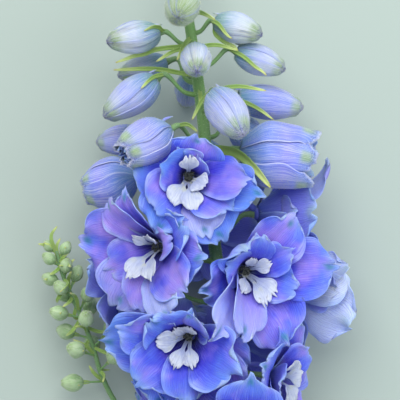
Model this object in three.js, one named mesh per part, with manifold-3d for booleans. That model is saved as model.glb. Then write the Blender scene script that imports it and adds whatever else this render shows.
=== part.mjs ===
// Delphinium: one cut flowering stem, lying on its back.
// Millimetres. +Y runs along the stem to its tip and +Z is up. The stem, its flower stalks and
// bracts are one green body. Each bud is a body, each open flower is two: the blue sepals with
// their spur, and the white inner petals ("bee") on the dome of stamens. A side shoot and three
// lobed leaves sit on the lower stem. The origin is under the middle of the whole, on the ground.
import * as THREE from 'three';
import Module from 'manifold-3d';

const wasm = await Module();
wasm.setup();

// Driving dimensions
const gap = 0.3; // air between two bodies that touch
const petalThickness = 0.7;
const petalSlit = 0.35; // half the air between neighbours in a whorl
const beeThickness = 0.8;
const bractThickness = 0.9;
const bractWidth = 2.2;
const leafThickness = 0.9;
const pedicelRadius = 0.95;
const receptacle = { height: 3.3, radius: 3 }; // the knob that carries one flower
const spur = { length: 12, radius: 1.7, endRadius: 0.7 };
const beeDome = { height: 4.2, radius: 1.9 };
const layShift = [-7.01, 40.86, 38.26]; // from the stem's own frame to the one on the ground

// The stem's centre line from tip to cut end, with its radius there
const stemLine = [
  [-12, 130, -8, 0.7], [-9, 106, -5, 1.5], [-5.9, 84, -3, 2.0], [-2.1, 59, -1, 2.4],
  [1.3, 34, 0, 2.5], [4.2, 0, 0, 2.6], [7, -25, 0, 2.7], [11.8, -55, -1, 2.8],
  [16.8, -84, -3, 3.0], [22, -120, -8, 3.1], [27, -170, -21, 3.2], [29, -215, -34.7, 3.3],
];

// Closed buds: `node` is where the stalk leaves the stem (its Y), then base, tip and girth.
// bracts hold [root, tip] pairs and bracteoles hold tips only.
const closedBuds = [
  { name: 'bud_top', node: 76, base: [-5.8, 82.3, 12], tip: [-8.7, 72.1, 34], girth: 14,
    bracts: [[[-8.2, 68.4, 3], [-9.4, 57.5, 14]], [[-4.1, 78.5, 3], [6.2, 74.3, 12]]] },
  { name: 'bud_top_left', node: 65, base: [-17.6, 70.1, 0], tip: [-38.7, 65.7, 6], girth: 14,
    bracts: [[[-8, 65, 1], [-35.3, 57.5, 2]]], bracteoles: [[-23.5, 69.7, 8]] },
  { name: 'bud_top_right', node: 70, base: [6.7, 74.8, 0], tip: [25.8, 68.7, 5], girth: 13.5,
    bracteoles: [[13.4, 67.2, 7], [16, 62.2, 1]] },
  { name: 'bud_centre', node: 57, base: [-2.1, 62.2, 8], tip: [-1.2, 51.4, 26], girth: 12.6,
    bracteoles: [[-18.1, 57.4, 8], [15.7, 61.9, 9]] },
  { name: 'bud_right', node: 56, base: [15.6, 62.5, -3], tip: [35.7, 54.6, 0], girth: 12.6,
    bracteoles: [[27.7, 52, 4]] },
  { name: 'bud_left_back', node: 49, base: [-14.6, 59.4, -15], tip: [-35.1, 53.1, -12], girth: 12,
    bracts: [[[-6, 52, -2], [-36.5, 55, -4]]] },
  { name: 'bud_left', node: 44, base: [-18.4, 50.1, 3], tip: [-39.9, 34.5, 6], girth: 15,
    bracteoles: [[-24.4, 45.8, 11]] },
  { name: 'bud_centre_right', node: 37, base: [6.2, 43.1, 14], tip: [17, 25.8, 34], girth: 16,
    bracts: [[[-1.5, 46, 2], [0, 39.2, 8]]], bracteoles: [[-3.3, 32.9, 14], [27, 44.7, 16]] },
  { name: 'bud_right_low', node: 34, base: [16.2, 43.4, -8], tip: [44.1, 39.4, -12], girth: 15,
    bracteoles: [[25.6, 36.5, -2]] },
  { name: 'bud_left_low', node: 16, base: [-25, 27, -19], tip: [-45, 25, -22], girth: 14 },
  { name: 'bud_back_high', node: 48, base: [-4, 53, -18], tip: [-6.5, 43, -37], girth: 12.5 },
  { name: 'bud_back_right', node: 26, base: [15, 33, -15], tip: [29, 21, -25], girth: 15 },
];

// Buds that are opening: the five sepals still close round the middle; mouth is the share of
// the girth that is left open at the tip.
const openingBuds = [
  { name: 'bud_opening_left', node: 24, base: [-12.3, 28.7, 14], tip: [-31.5, 18.1, 24],
    girth: 18, mouth: 0.5, bracts: [[[-3, 25, 4], [-17, 23, 14]]], bracteoles: [[-1, 28, 15]] },
  { name: 'bud_opening_right', node: 12, base: [16.7, 20.8, 5], tip: [47.9, 16.7, 5],
    girth: 26, mouth: 0.8, bracts: [[[9, 19.5, 4], [25.8, 5.4, 12]]] },
  { name: 'bud_opening_back_left', node: 2, base: [-26.7, 9.3, -5], tip: [-49.1, 4.3, -10],
    girth: 22, mouth: 0.45 },
  { name: 'bud_opening_back', node: 22, base: [2, 24, -15], tip: [1, 10, -33],
    girth: 17, mouth: 0.4 },
];

// Open flowers: azimuth is the way the flower faces round the stem (0 up, + to the right) and
// elevation is toward the tip. A petal is [turn, length, width, open, end, cup] in degrees and
// mm: turn is round the flower from its upper side, the midline leans from `open` at the root to
// `end` at the tip, both measured from the way the flower faces, and cup bends it across.
// A flower without petals of its own gets even whorls of the given size.
const flowers = [
  { name: 'flower_01', node: 2, base: [-5, 9, 12], azimuth: 4, elevation: 5,
    outer: [[-80, 22, 20, 46, 96, 24], [6, 19, 20, 40, 72, 26], [56, 20, 19, 42, 80, 26],
      [101, 30, 21, 48, 98, 22], [152, 31, 22, 50, 100, 20], [207, 26, 21, 48, 96, 22]],
    inner: [[-76, 18, 14, 34, 66, 26], [-15, 16, 14, 30, 56, 24], [88, 24, 15, 36, 72, 24],
      [130, 21, 16, 36, 70, 24], [174, 23, 15, 36, 72, 24], [222, 18, 14, 34, 66, 26]] },
  { name: 'flower_02', node: -26, base: [-14.5, -18.5, 9], azimuth: -38, elevation: -8,
    outer: [[-10, 28, 20, 42, 82, 28], [42, 23, 20, 46, 90, 26], [98, 26, 21, 50, 102, 20],
      [155, 27, 22, 50, 98, 22], [218, 27, 21, 48, 96, 22], [282, 27, 21, 46, 92, 24]],
    inner: [[16, 19, 15, 34, 64, 26], [125, 21, 16, 36, 70, 24], [188, 21, 15, 36, 70, 24],
      [252, 19, 14, 34, 66, 26]] },
  { name: 'flower_03', node: -41, base: [15.8, -28.8, 5], azimuth: 29, elevation: -5,
    outer: [[-40, 24, 20, 46, 90, 24], [22, 28, 21, 46, 88, 24], [78, 35, 23, 48, 94, 24],
      [138, 33, 22, 50, 98, 20], [196, 28, 22, 50, 98, 22], [258, 25, 21, 48, 96, 24]],
    inner: [[48, 23, 16, 36, 70, 24], [110, 23, 16, 36, 72, 24], [210, 21, 16, 36, 70, 24],
      [290, 19, 15, 34, 66, 26]] },
  { name: 'flower_04', node: -66, base: [-3.5, -54.3, 12], azimuth: -12, elevation: -15,
    outer: [[-92, 32, 22, 46, 92, 24], [-35, 25, 21, 42, 80, 28], [28, 24, 21, 42, 80, 28],
      [88, 28, 22, 48, 96, 24], [145, 28, 22, 50, 98, 20], [212, 29, 22, 48, 98, 22]],
    inner: [[-65, 21, 15, 34, 66, 26], [58, 20, 15, 34, 66, 26], [118, 20, 16, 36, 70, 24],
      [236, 21, 16, 36, 70, 24]] },
  { name: 'flower_05', node: -46, base: [36, -38, -9.8], azimuth: 115, elevation: -5, size: 27 },
  { name: 'flower_06', node: -14, base: [23, -6, -9], azimuth: 100, elevation: 4, size: 24 },
  { name: 'flower_07', node: -44, base: [-27, -34, -12.9], azimuth: -112, elevation: 0, size: 25 },
  { name: 'flower_08', node: -72, base: [27, -73, 5], azimuth: 64, elevation: -4, size: 27 },
  { name: 'flower_09', node: -20, base: [1, -13, -17], azimuth: 178, elevation: 4, size: 25 },
  { name: 'flower_10', node: -56, base: [14, -59, -16], azimuth: 150, elevation: -6, size: 25 },
  { name: 'flower_11', node: -76, base: [-7, -66, -14.5], azimuth: -146, elevation: -2, size: 26 },
  { name: 'flower_12', node: -98, base: [18, -94, 15], azimuth: 6, elevation: -20, size: 28 },
  { name: 'flower_13', node: -94, base: [-6, -94, 0], azimuth: -64, elevation: -12, size: 27 },
];

// The green tip: small buds in a spiral round the last of the stem
const tipBuds = { count: 10, from: 91, to: 129, girth: 7.4, endGirth: 2.6, turn: 137.5 };

// Leaves: where the stalk leaves the stem, where the blade begins, and the way its middle points
const leaves = [
  { name: 'leaf_1', node: -136, blade: [-6, -152, -22], heading: -140, radius: 34, stalk: 1.3 },
  { name: 'leaf_2', node: -164, blade: [52, -166, -27], heading: 105, radius: 33, stalk: 1.3 },
  { name: 'leaf_3', node: -116, blade: [46, -120, -20], heading: 62, radius: 24, stalk: 1.1 },
];
const leafLobes = [-104, -52, 0, 52, 104]; // degrees round the end of the stalk
const lobeReach = [0.72, 0.92, 1, 0.92, 0.72];
const lobeEdge = [[0.28, 0.72], [0.48, 0.8], [1, 0.3]]; // from a lobe's tip to the notch:
// share of its half angle, share of its reach
const lobeHalfAngle = 26;

// The side shoot: a thin stem with small round buds in a spiral, each on its own stalk
const sideShoot = {
  line: [[23, -132, -11], [4, -124, -24], [-18, -110, -31], [-34, -94, -30], [-42.5, -78, -25],
    [-47, -62, -20], [-53, -47, -18], [-59, -33, -17], [-62, -22, -17]],
  radius: 1.5, endRadius: 0.8, buds: 11, from: 0.6, to: 1, girth: 8.4, endGirth: 6.4,
  stalk: 9, endStalk: 2.5, turn: 137.5,
};

// Colours as the finished flower has them
const materials = {
  stem: new THREE.MeshStandardMaterial({ color: 0x6f9a55, roughness: 0.6, metalness: 0 }),
  shoot: new THREE.MeshStandardMaterial({ color: 0x8db374, roughness: 0.6, metalness: 0 }),
  leaf: new THREE.MeshStandardMaterial({ color: 0x4f7f3f, roughness: 0.55, metalness: 0 }),
  bud: new THREE.MeshStandardMaterial({ color: 0x8c9cc4, roughness: 0.7, metalness: 0 }),
  opening: new THREE.MeshStandardMaterial({ color: 0x7d86cf, roughness: 0.65, metalness: 0 }),
  petals: new THREE.MeshStandardMaterial({ color: 0x6f6fd6, roughness: 0.6, metalness: 0 }),
  bee: new THREE.MeshStandardMaterial({ color: 0xe6e9f5, roughness: 0.6, metalness: 0 }),
};

const rad = THREE.MathUtils.degToRad;
const vector = (xyz) => new THREE.Vector3(xyz[0], xyz[1], xyz[2]);
const up = new THREE.Vector3(0, 0, 1);
const along = new THREE.Vector3(0, 1, 0);

// A closed body from points and triangles, turned so that its faces point out
function body(points, triangles) {
  let volume = 0;
  for (const [a, b, c] of triangles) {
    volume += points[a].dot(points[b].clone().cross(points[c]));
  }
  const faces = volume < 0 ? triangles.map(([a, b, c]) => [a, c, b]) : triangles;
  return new wasm.Manifold(new wasm.Mesh({
    numProp: 3,
    vertProperties: Float32Array.from(points.flatMap((p) => p.toArray())),
    triVerts: Uint32Array.from(faces.flat()),
  }));
}

// A skin over rings that all have the same number of points, with a flat end at each side
function skin(rings) {
  const sides = rings[0].length;
  const last = (rings.length - 1) * sides;
  const triangles = [];
  for (let j = 0; j < last; j += sides) {
    for (let k = 0; k < sides; k += 1) {
      const next = (k + 1) % sides;
      triangles.push([j + k, j + next, j + next + sides], [j + k, j + next + sides, j + k + sides]);
    }
  }
  for (let k = 1; k + 1 < sides; k += 1) {
    triangles.push([0, k + 1, k], [last, last + k, last + k + 1]);
  }
  return body(rings.flat(), triangles);
}

// Rings along a curve at the given stations; section(s) gives each ring's own outline
function sweep(curve, stations, section, firstNormal = up) {
  const normal = firstNormal.clone();
  const rings = stations.map((s) => {
    const tangent = curve.getTangentAt(s);
    normal.addScaledVector(tangent, -normal.dot(tangent)).normalize();
    const side = tangent.clone().cross(normal);
    const centre = curve.getPointAt(s);
    return section(s).map(([u, w]) => centre.clone().addScaledVector(normal, u)
      .addScaledVector(side, w));
  });
  return skin(rings);
}

const evenStations = (count) => Array.from({ length: count + 1 }, (_, j) => j / count);
const roundStations = (count) => Array.from({ length: count + 1 },
  (_, j) => (1 - Math.cos((Math.PI * j) / count)) / 2);

function ring(radius, sides, seam = 0) {
  return Array.from({ length: sides }, (_, k) => {
    const angle = (2 * Math.PI * k) / sides;
    const reach = radius * (1 - seam * (k % 2));
    return [Math.cos(angle) * reach, Math.sin(angle) * reach];
  });
}

// A line through points whose fourth value is the radius there
function taperedLine(points, sides, steps, grow = 0) {
  const curve = new THREE.CatmullRomCurve3(points.map(vector));
  const radiusAt = new THREE.CatmullRomCurve3(points.map((p) => new THREE.Vector3(p[3], 0, 0)));
  const stations = evenStations(steps);
  const rings = stations.map((t) => ({ centre: curve.getPoint(t), tangent: curve.getTangent(t),
    radius: radiusAt.getPoint(t).x + grow }));
  const normal = up.clone();
  return skin(rings.map(({ centre, tangent, radius }) => {
    normal.addScaledVector(tangent, -normal.dot(tangent)).normalize();
    const side = tangent.clone().cross(normal);
    return ring(radius, sides).map(([u, w]) => centre.clone().addScaledVector(normal, u)
      .addScaledVector(side, w));
  }));
}

// A narrow keeled strip that ends in a point, for bracts and bracteoles
function strip(points, width, face) {
  const curve = new THREE.CatmullRomCurve3(points);
  const section = (s) => {
    const half = (width / 2) * (s === 1 ? 0.3 : 1);
    const keel = bractThickness * (s === 1 ? 0.6 : 1);
    return [[keel * 0.6, 0], [-keel * 0.4, half], [-keel * 0.4, -half]];
  };
  return sweep(curve, [0, 0.55, 1], section, face);
}

// A thin blade with the same triangles on both faces, open at its root; point(s, t) is its
// middle surface. The back face comes first in `points`, then the front face.
function blade(point, rows, columns, thickness) {
  const middle = rows.map((s) => columns.map((t) => point(s, t)));
  const wide = columns.length;
  const count = rows.length * wide;
  const points = [1, -1].flatMap((sign) => middle.flatMap((row, i) => row.map((p, j) => {
    const inner = middle[Math.max(i - 1, 0)][j];
    const outer = middle[Math.min(i + 1, rows.length - 1)][j];
    const left = row[Math.max(j - 1, 0)];
    const right = row[Math.min(j + 1, wide - 1)];
    const normal = outer.clone().sub(inner).cross(right.clone().sub(left)).normalize();
    return p.clone().addScaledVector(normal, (sign * thickness) / 2);
  })));
  const triangles = [];
  for (let i = 0; i + 1 < rows.length; i += 1) {
    for (let j = 0; j + 1 < wide; j += 1) {
      const a = i * wide + j;
      const cell = [[a, a + wide, a + wide + 1], [a, a + wide + 1, a + 1]];
      for (const [p, q, r] of cell) {
        triangles.push([p, q, r], [p + count, r + count, q + count]);
      }
    }
  }
  const rightEdge = rows.map((_, i) => i * wide + wide - 1);
  const tipEdge = columns.map((_, j) => count - 1 - j);
  const leftEdge = rows.map((_, i) => (rows.length - 1 - i) * wide);
  for (const edge of [rightEdge, tipEdge, leftEdge]) {
    for (let k = 0; k + 1 < edge.length; k += 1) {
      const [from, to] = [edge[k], edge[k + 1]];
      triangles.push([from, to, to + count], [from, to + count, from + count]);
    }
  }
  return { points, triangles, count, wide };
}

// The band of triangles between two rings of { turn, index }, whatever their numbers of points
function band(lower, upper) {
  const full = 2 * Math.PI;
  const apart = (a, b) => Math.abs(a - b - full * Math.round((a - b) / full));
  const first = upper.reduce((best, entry, j) => (apart(entry.turn, lower[0].turn)
    < apart(upper[best].turn, lower[0].turn) ? j : best), 0);
  const shift = full * Math.round((lower[0].turn - upper[first].turn) / full);
  const lowTurn = (i) => lower[i % lower.length].turn + full * Math.floor(i / lower.length);
  const highTurn = (j) => upper[(first + j) % upper.length].turn + shift
    + full * Math.floor((first + j) / upper.length);
  const low = (i) => lower[i % lower.length].index;
  const high = (j) => upper[(first + j) % upper.length].index;
  const triangles = [];
  let i = 0;
  let j = 0;
  while (i < lower.length || j < upper.length) {
    const lowFirst = lowTurn(i) + lowTurn(i + 1) < highTurn(j) + highTurn(j + 1);
    if (j === upper.length || (i < lower.length && lowFirst)) {
      triangles.push([low(i), high(j), low(i + 1)]);
      i += 1;
    } else {
      triangles.push([low(i), high(j), high(j + 1)]);
      j += 1;
    }
  }
  return triangles;
}

// A blade that is closed at its root too
function closedBlade({ points, triangles, count, wide }) {
  const root = Array.from({ length: wide - 1 }, (_, j) => [[j, j + 1, j + 1 + count],
    [j, j + 1 + count, j + count]]).flat();
  return body(points, [...triangles, ...root]);
}

// A knob with whorls of blades growing out of its side: foot and head are [radius, height] rings
function rosette(foot, whorls, head, sides) {
  const points = [];
  const triangles = [];
  let below = null;
  const joinTo = (lower, upper) => {
    if (below) triangles.push(...band(below, lower));
    below = upper;
  };
  const circle = ([radius, height]) => {
    const ringOfPoints = Array.from({ length: sides }, (_, k) => {
      const turn = (2 * Math.PI * k) / sides;
      points.push(new THREE.Vector3(Math.sin(turn) * radius, Math.cos(turn) * radius, height));
      return { turn, index: points.length - 1 };
    });
    joinTo(ringOfPoints, ringOfPoints);
    return ringOfPoints;
  };
  const bottom = foot.map(circle)[0];
  for (const blades of whorls) {
    const back = [];
    const front = [];
    for (const { turn, shape, columns } of blades) {
      const start = points.length;
      points.push(...shape.points);
      triangles.push(...shape.triangles.map((corners) => corners.map((c) => c + start)));
      columns.forEach((_, j) => {
        const offset = (p) => Math.atan2(p.x, p.y) - turn;
        const turnAt = (p) => turn + Math.atan2(Math.sin(offset(p)), Math.cos(offset(p)));
        const [behind, ahead] = [start + j, start + j + shape.count];
        back.push({ turn: turnAt(points[behind]), index: behind });
        front.push({ turn: turnAt(points[ahead]), index: ahead });
      });
    }
    const wide = blades[0].columns.length;
    for (let k = wide - 1; k < back.length; k += wide) {
      const next = (k + 1) % back.length;
      triangles.push([back[k].index, front[next].index, back[next].index],
        [back[k].index, front[k].index, front[next].index]);
    }
    joinTo(back, front);
  }
  const top = head.map(circle).at(-1);
  for (let k = 1; k + 1 < sides; k += 1) {
    triangles.push([bottom[0].index, bottom[k].index, bottom[k + 1].index],
      [top[0].index, top[k + 1].index, top[k].index]);
  }
  return body(points, triangles);
}

const unionOf = (solids) => wasm.Manifold.union(solids);

function largestPiece(solid) {
  return solid.decompose().reduce((best, piece) => (piece.volume() > best.volume() ? piece : best));
}

function boxesMeet(first, second) {
  const a = first.boundingBox();
  const b = second.boundingBox();
  return [0, 1, 2].every((k) => a.min[k] < b.max[k] && b.min[k] < a.max[k]);
}

function cutClear(solid, cutters) {
  return cutters.reduce((left, cutter) => (boxesMeet(left, cutter) ? left.subtract(cutter) : left),
    solid);
}

// Petals. `broadness` is the share of the full width at s, from root (0) to tip (1).
function sepalBroadness(s) {
  const widest = 0.62;
  if (s < widest) return 0.26 + 0.74 * Math.sin(((Math.PI / 2) * s) / widest);
  return Math.sqrt(1 - ((0.85 * (s - widest)) / (1 - widest)) ** 2);
}

function beeBroadness(s) {
  const claw = 0.4;
  return s < claw ? 0.3 : 0.3 + 0.7 * Math.sin((Math.PI / 2) * Math.min((s - claw) / 0.4, 1));
}

// The middle surface of a petal in the flower's own frame: z is the way it faces, y its upper side.
// room is the angle to each side that the petal may fill before it meets its neighbour.
function petalPoint([turn, length, width, open, end, cup], { root, room, slit, broadness, notch }) {
  const lean = rad(open);
  const bend = rad(end - open);
  const fold = rad(cup);
  const out = new THREE.Vector3(Math.sin(rad(turn)), Math.cos(rad(turn)), 0);
  const across = new THREE.Vector3(out.y, -out.x, 0);
  return (s, t) => {
    const reach = s * (1 - 0.1 * t * t * s * s - notch * (1 - t * t) * s ** 4);
    const angle = lean + bend * reach;
    const radial = root.radius + (length * (Math.cos(lean) - Math.cos(angle))) / bend;
    const spread = Math.tan(rad(t < 0 ? room[0] : room[1]));
    const free = (fold * (radial * spread - slit))
      / (Math.sin(fold) + (1 - Math.cos(fold)) * Math.cos(angle) * spread);
    const half = Math.min((width / 2) * broadness(s), free);
    const lift = (half * (1 - Math.cos(fold * t))) / fold;
    const height = root.height + (length * (Math.sin(angle) - Math.sin(lean))) / bend;
    return out.clone().multiplyScalar(radial - lift * Math.cos(angle))
      .addScaledVector(across, (half * Math.sin(fold * t)) / fold)
      .addScaledVector(up, height + lift * Math.sin(angle));
  };
}

const outerRoot = { radius: 3, height: 1.3 };
const innerRoot = { radius: 2.4, height: 2.6 };
const beeRoot = { radius: 2, height: receptacle.height + 1.2 };
const fineRows = [0, 0.34, 0.64, 0.87, 1];
const plainRows = [0, 0.5, 0.84, 1];
const beeRows = [0, 0.42, 0.8, 1];
const plainBeeRows = [0, 0.45, 1];
const innerRows = [0, 0.6, 1];
const threeColumns = [-1, 0, 1];
const fourColumns = [-1, -0.36, 0.36, 1];

// One whorl of petals, each in the room that its neighbours leave it
function whorl(petals, root, { rows, columns, broadness, notch, thickness }, grow) {
  const sorted = [...petals].sort((a, b) => a[0] - b[0]);
  const blades = sorted.map((petal, k) => {
    const before = sorted[(k + sorted.length - 1) % sorted.length][0] - (k === 0 ? 360 : 0);
    const after = sorted[(k + 1) % sorted.length][0] + (k === sorted.length - 1 ? 360 : 0);
    const room = [(petal[0] - before) / 2, (after - petal[0]) / 2].map((side) => Math.min(side, 60));
    const [turn, length, width, ...lean] = petal;
    const point = petalPoint([turn, length + grow, width + 2 * grow, ...lean],
      { root, room, broadness, notch, slit: petalSlit - grow });
    return { turn: rad(turn), columns, shape: blade(point, rows, columns, thickness + 2 * grow) };
  });
  return Object.assign(blades, { root });
}

// Two even whorls for a flower that has no petals of its own in the list
function evenWhorls(size, seed) {
  const outer = [0, 1, 2, 3, 4].map((k) => [72 * k + 9 * Math.sin(seed + 2.1 * k),
    size * (1 + 0.06 * Math.sin(3 * seed + k)), size * 0.8, 48, 94 + 5 * Math.sin(seed * k), 24]);
  const inner = [0, 1, 2].map((k) => [36 + 120 * k + 10 * Math.cos(seed + k), size * 0.76,
    size * 0.56, 34, 66, 26]);
  return { outer, inner };
}

// From a flower's own frame to the stem's: +z faces the given way and +y stays near the tip
function facing(base, direction) {
  const z = direction.clone().normalize();
  const y = along.clone().addScaledVector(z, -along.dot(z)).normalize();
  const x = y.clone().cross(z);
  return new THREE.Matrix4().makeBasis(x, y, z).setPosition(vector(base));
}

function lookAlong({ azimuth, elevation }) {
  const flat = Math.cos(rad(elevation));
  return new THREE.Vector3(Math.sin(rad(azimuth)) * flat, Math.sin(rad(elevation)),
    Math.cos(rad(azimuth)) * flat);
}

function spurBody(grow, start, size = 1) {
  const { length, radius, endRadius } = spur;
  const points = [[0, start.y, start.z], [0, start.y + 2.6 * size, start.z - 0.32 * length * size],
    [0, start.y + 1.8 * size, start.z - length * size]];
  return sweep(new THREE.CatmullRomCurve3(points.map(vector)), [0, 0.5, 1],
    (s) => ring((radius + (endRadius - radius) * s) * size + grow, 5), along);
}

// The same knob and blades as separate closed bodies joined, which is what a neighbour is cut by
function looseRosette(foot, whorls, head, sides) {
  const rings = [...foot, ...whorls.map(({ root }) => [root.radius, root.height]), ...head];
  const knob = skin(rings.map(([radius, height]) => ring(radius, sides)
    .map(([u, w]) => new THREE.Vector3(u, w, height))));
  return unionOf([knob, ...whorls.flat().map(({ shape }) => closedBlade(shape))]);
}

function bloomBody({ outer, inner, size, azimuth }, grow) {
  const whorls = outer ? { outer, inner } : evenWhorls(size, rad(azimuth));
  const shape = { broadness: sepalBroadness, notch: 0, thickness: petalThickness,
    rows: outer ? fineRows : plainRows, columns: outer ? fourColumns : threeColumns };
  const { height, radius } = receptacle;
  const join = grow ? looseRosette : rosette;
  const corolla = join([[radius * 0.56 + grow, 0]], [
    whorl(whorls.outer, outerRoot, shape, grow),
    whorl(whorls.inner, innerRoot, { ...shape, rows: outer ? plainRows : innerRows,
      columns: threeColumns }, grow),
  ], [[radius * 0.4, height + grow]], 6);
  return unionOf([corolla, spurBody(grow, { y: 1.2, z: 1.4 })]);
}

// The bee: four white petals on claws round the dome of stamens
const beePetals = [[-8, 13.5, 9.5, 2, 80, 20], [75, 13.5, 9, 2, 90, 20], [150, 14, 9.5, 2, 92, 20],
  [215, 14, 9.5, 2, 88, 20]];

function beeBody(flower, grow) {
  const foot = receptacle.height + gap;
  const shape = { broadness: beeBroadness, notch: 0.2, thickness: beeThickness,
    rows: flower.outer ? beeRows : plainBeeRows, columns: flower.outer ? threeColumns : [-1, 1] };
  const join = grow ? looseRosette : rosette;
  return join([[beeDome.radius * 0.6 + grow, foot - grow]],
    [whorl(beePetals, beeRoot, shape, grow)],
    [[beeDome.radius * 0.8 + grow, foot + beeDome.height * 0.6],
      [beeDome.radius * 0.5 + grow, foot + beeDome.height + grow]], 5);
}

// An opening bud: the shell goes up to a scalloped mouth and back down inside it
function openingBody({ base, tip, girth, mouth }, grow) {
  const length = vector(tip).distanceTo(vector(base));
  const profile = [[0, 0.24], [0.12, 0.6], [0.34, 0.97], [0.62, 0.95], [0.86, 0.5 + mouth * 0.5],
    [1, mouth]];
  const inside = [[1, mouth], [0.8, 0.4 + mouth * 0.5], [0.5, 0.7], [0.3, 0.3]];
  const sides = 15;
  const rings = [...profile, ...inside].map(([s, share], j) => {
    const outside = j < profile.length;
    const wall = outside ? grow : -petalThickness - grow;
    return Array.from({ length: sides }, (_, k) => {
      const angle = (2 * Math.PI * k) / sides;
      const groove = k % 3 === 1 ? 0 : 1;
      const reach = Math.max((girth / 2) * share * (outside ? 1 - 0.08 * groove : 0.9) + wall, 0.4);
      const height = length * s * (1 - groove * 0.3 * Math.max(s - 0.6, 0))
        + (j === 0 ? -grow : 0) + (s === 1 ? grow : 0);
      return new THREE.Vector3(Math.sin(angle) * reach, Math.cos(angle) * reach, height);
    });
  });
  return unionOf([skin(rings), spurBody(grow, { y: girth * 0.2, z: girth * 0.14 }, girth / 28)]);
}

// A closed bud: five sepals meet in seams, so the section has five ribs and five grooves
function closedBody({ base, tip, girth }, grow) {
  const length = vector(tip).distanceTo(vector(base));
  const line = new THREE.LineCurve3(new THREE.Vector3(0, 0, -grow),
    new THREE.Vector3(0, 0, length + grow));
  const shape = (s) => Math.max(Math.sin(Math.PI * Math.min(0.1 + 0.86 * s ** 0.85, 0.96)) ** 0.7,
    0.2);
  const shell = sweep(line, roundStations(4), (s) => ring((girth / 2) * shape(s) + grow, 10, 0.07),
    along);
  return unionOf([shell, spurBody(grow, { y: girth * 0.18, z: girth * 0.16 }, girth / 24)]);
}

const stemCurve = new THREE.CatmullRomCurve3(stemLine.map(vector));

// The stem's centre at a given Y
function stemAt(y) {
  let low = 0;
  let high = 1;
  for (let k = 0; k < 30; k += 1) {
    const mid = (low + high) / 2;
    if (stemCurve.getPoint(mid).y > y) low = mid;
    else high = mid;
  }
  return stemCurve.getPoint(low);
}

// A flower's stalk: out of the stem at its node, then in line with the way the flower faces
function pedicelLine({ node, base }, direction) {
  const start = stemAt(node);
  const end = vector(base).addScaledVector(direction, -gap);
  const reach = end.distanceTo(start);
  const out = end.clone().sub(start).setY(0).normalize();
  return new THREE.CatmullRomCurve3([
    start, start.clone().addScaledVector(out, reach * 0.34).setY(start.y + (end.y - start.y) * 0.2),
    end.clone().addScaledVector(direction, -reach * 0.22), end,
  ]);
}

function pedicelBody(curve, grow) {
  const radius = (s) => pedicelRadius * (1.25 - 0.5 * Math.sin(Math.PI * Math.min(s * 1.1, 1)))
    + grow;
  return sweep(curve, evenStations(3), (s) => ring(radius(s), 4), along);
}

// Bracts stand below a stalk on the stem, and bracteoles on the stalk near its flower
function bractBodies({ bracts = [], bracteoles = [] }, curve, direction) {
  const seat = curve.getPointAt(0.78);
  return [
    ...bracts.map(([root, tip]) => {
      const middle = vector(root).lerp(vector(tip), 0.5).addScaledVector(along, 1.2);
      return strip([stemAt(root[1]), middle, vector(tip)], bractWidth, along);
    }),
    ...bracteoles.map((tip) => {
      const middle = seat.clone().lerp(vector(tip), 0.55).addScaledVector(direction, -0.6);
      return strip([seat, middle, vector(tip)], bractWidth * 0.8, along);
    }),
  ];
}

// A small round bud on its own short stalk, for the tip and the side shoot
function smallBud(root, direction, stalk, girth) {
  const end = root.clone().addScaledVector(direction, stalk + girth * 1.25);
  const line = new THREE.LineCurve3(root, end);
  const neck = stalk / (stalk + girth * 1.25);
  const stations = [0, neck, neck + (1 - neck) * 0.45, 1];
  const radii = [0.55, 0.6, girth / 2, girth * 0.16];
  return sweep(line, stations, (s) => ring(radii[stations.indexOf(s)], 5), up);
}

function tipBudBodies() {
  return Array.from({ length: tipBuds.count }, (_, k) => {
    const share = k / (tipBuds.count - 1);
    const root = stemAt(tipBuds.from + (tipBuds.to - tipBuds.from) * share);
    const turn = rad(tipBuds.turn * k);
    const lift = 0.35 + 0.9 * share;
    const direction = new THREE.Vector3(Math.sin(turn), lift, Math.cos(turn)).normalize();
    const girth = tipBuds.girth + (tipBuds.endGirth - tipBuds.girth) * share;
    return smallBud(root, direction, 2 + girth * 0.45, girth);
  });
}

function sideShootBody() {
  const { line, radius, endRadius, buds, from, to, girth, endGirth, stalk, endStalk,
    turn } = sideShoot;
  const curve = new THREE.CatmullRomCurve3(line.map(vector));
  const parts = [sweep(curve, evenStations(12),
    (s) => ring(radius + (endRadius - radius) * s, 5))];
  for (let k = 0; k < buds; k += 1) {
    const share = k / (buds - 1);
    const place = from + (to - from) * share;
    const root = curve.getPointAt(place);
    const tangent = curve.getTangentAt(place);
    const side = up.clone().cross(tangent).normalize();
    const angle = rad(turn * k);
    const direction = side.clone().multiplyScalar(Math.cos(angle))
      .addScaledVector(up, Math.sin(angle)).addScaledVector(tangent, 0.5 + 0.6 * share).normalize();
    parts.push(smallBud(root, direction, stalk + (endStalk - stalk) * share,
      girth + (endGirth - girth) * share));
    if (k % 2 === 0) {
      const tip = root.clone().addScaledVector(direction, 11).addScaledVector(tangent, -4);
      parts.push(strip([root, root.clone().lerp(tip, 0.5), tip], bractWidth * 0.7, tangent));
    }
  }
  return unionOf(parts);
}

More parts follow.
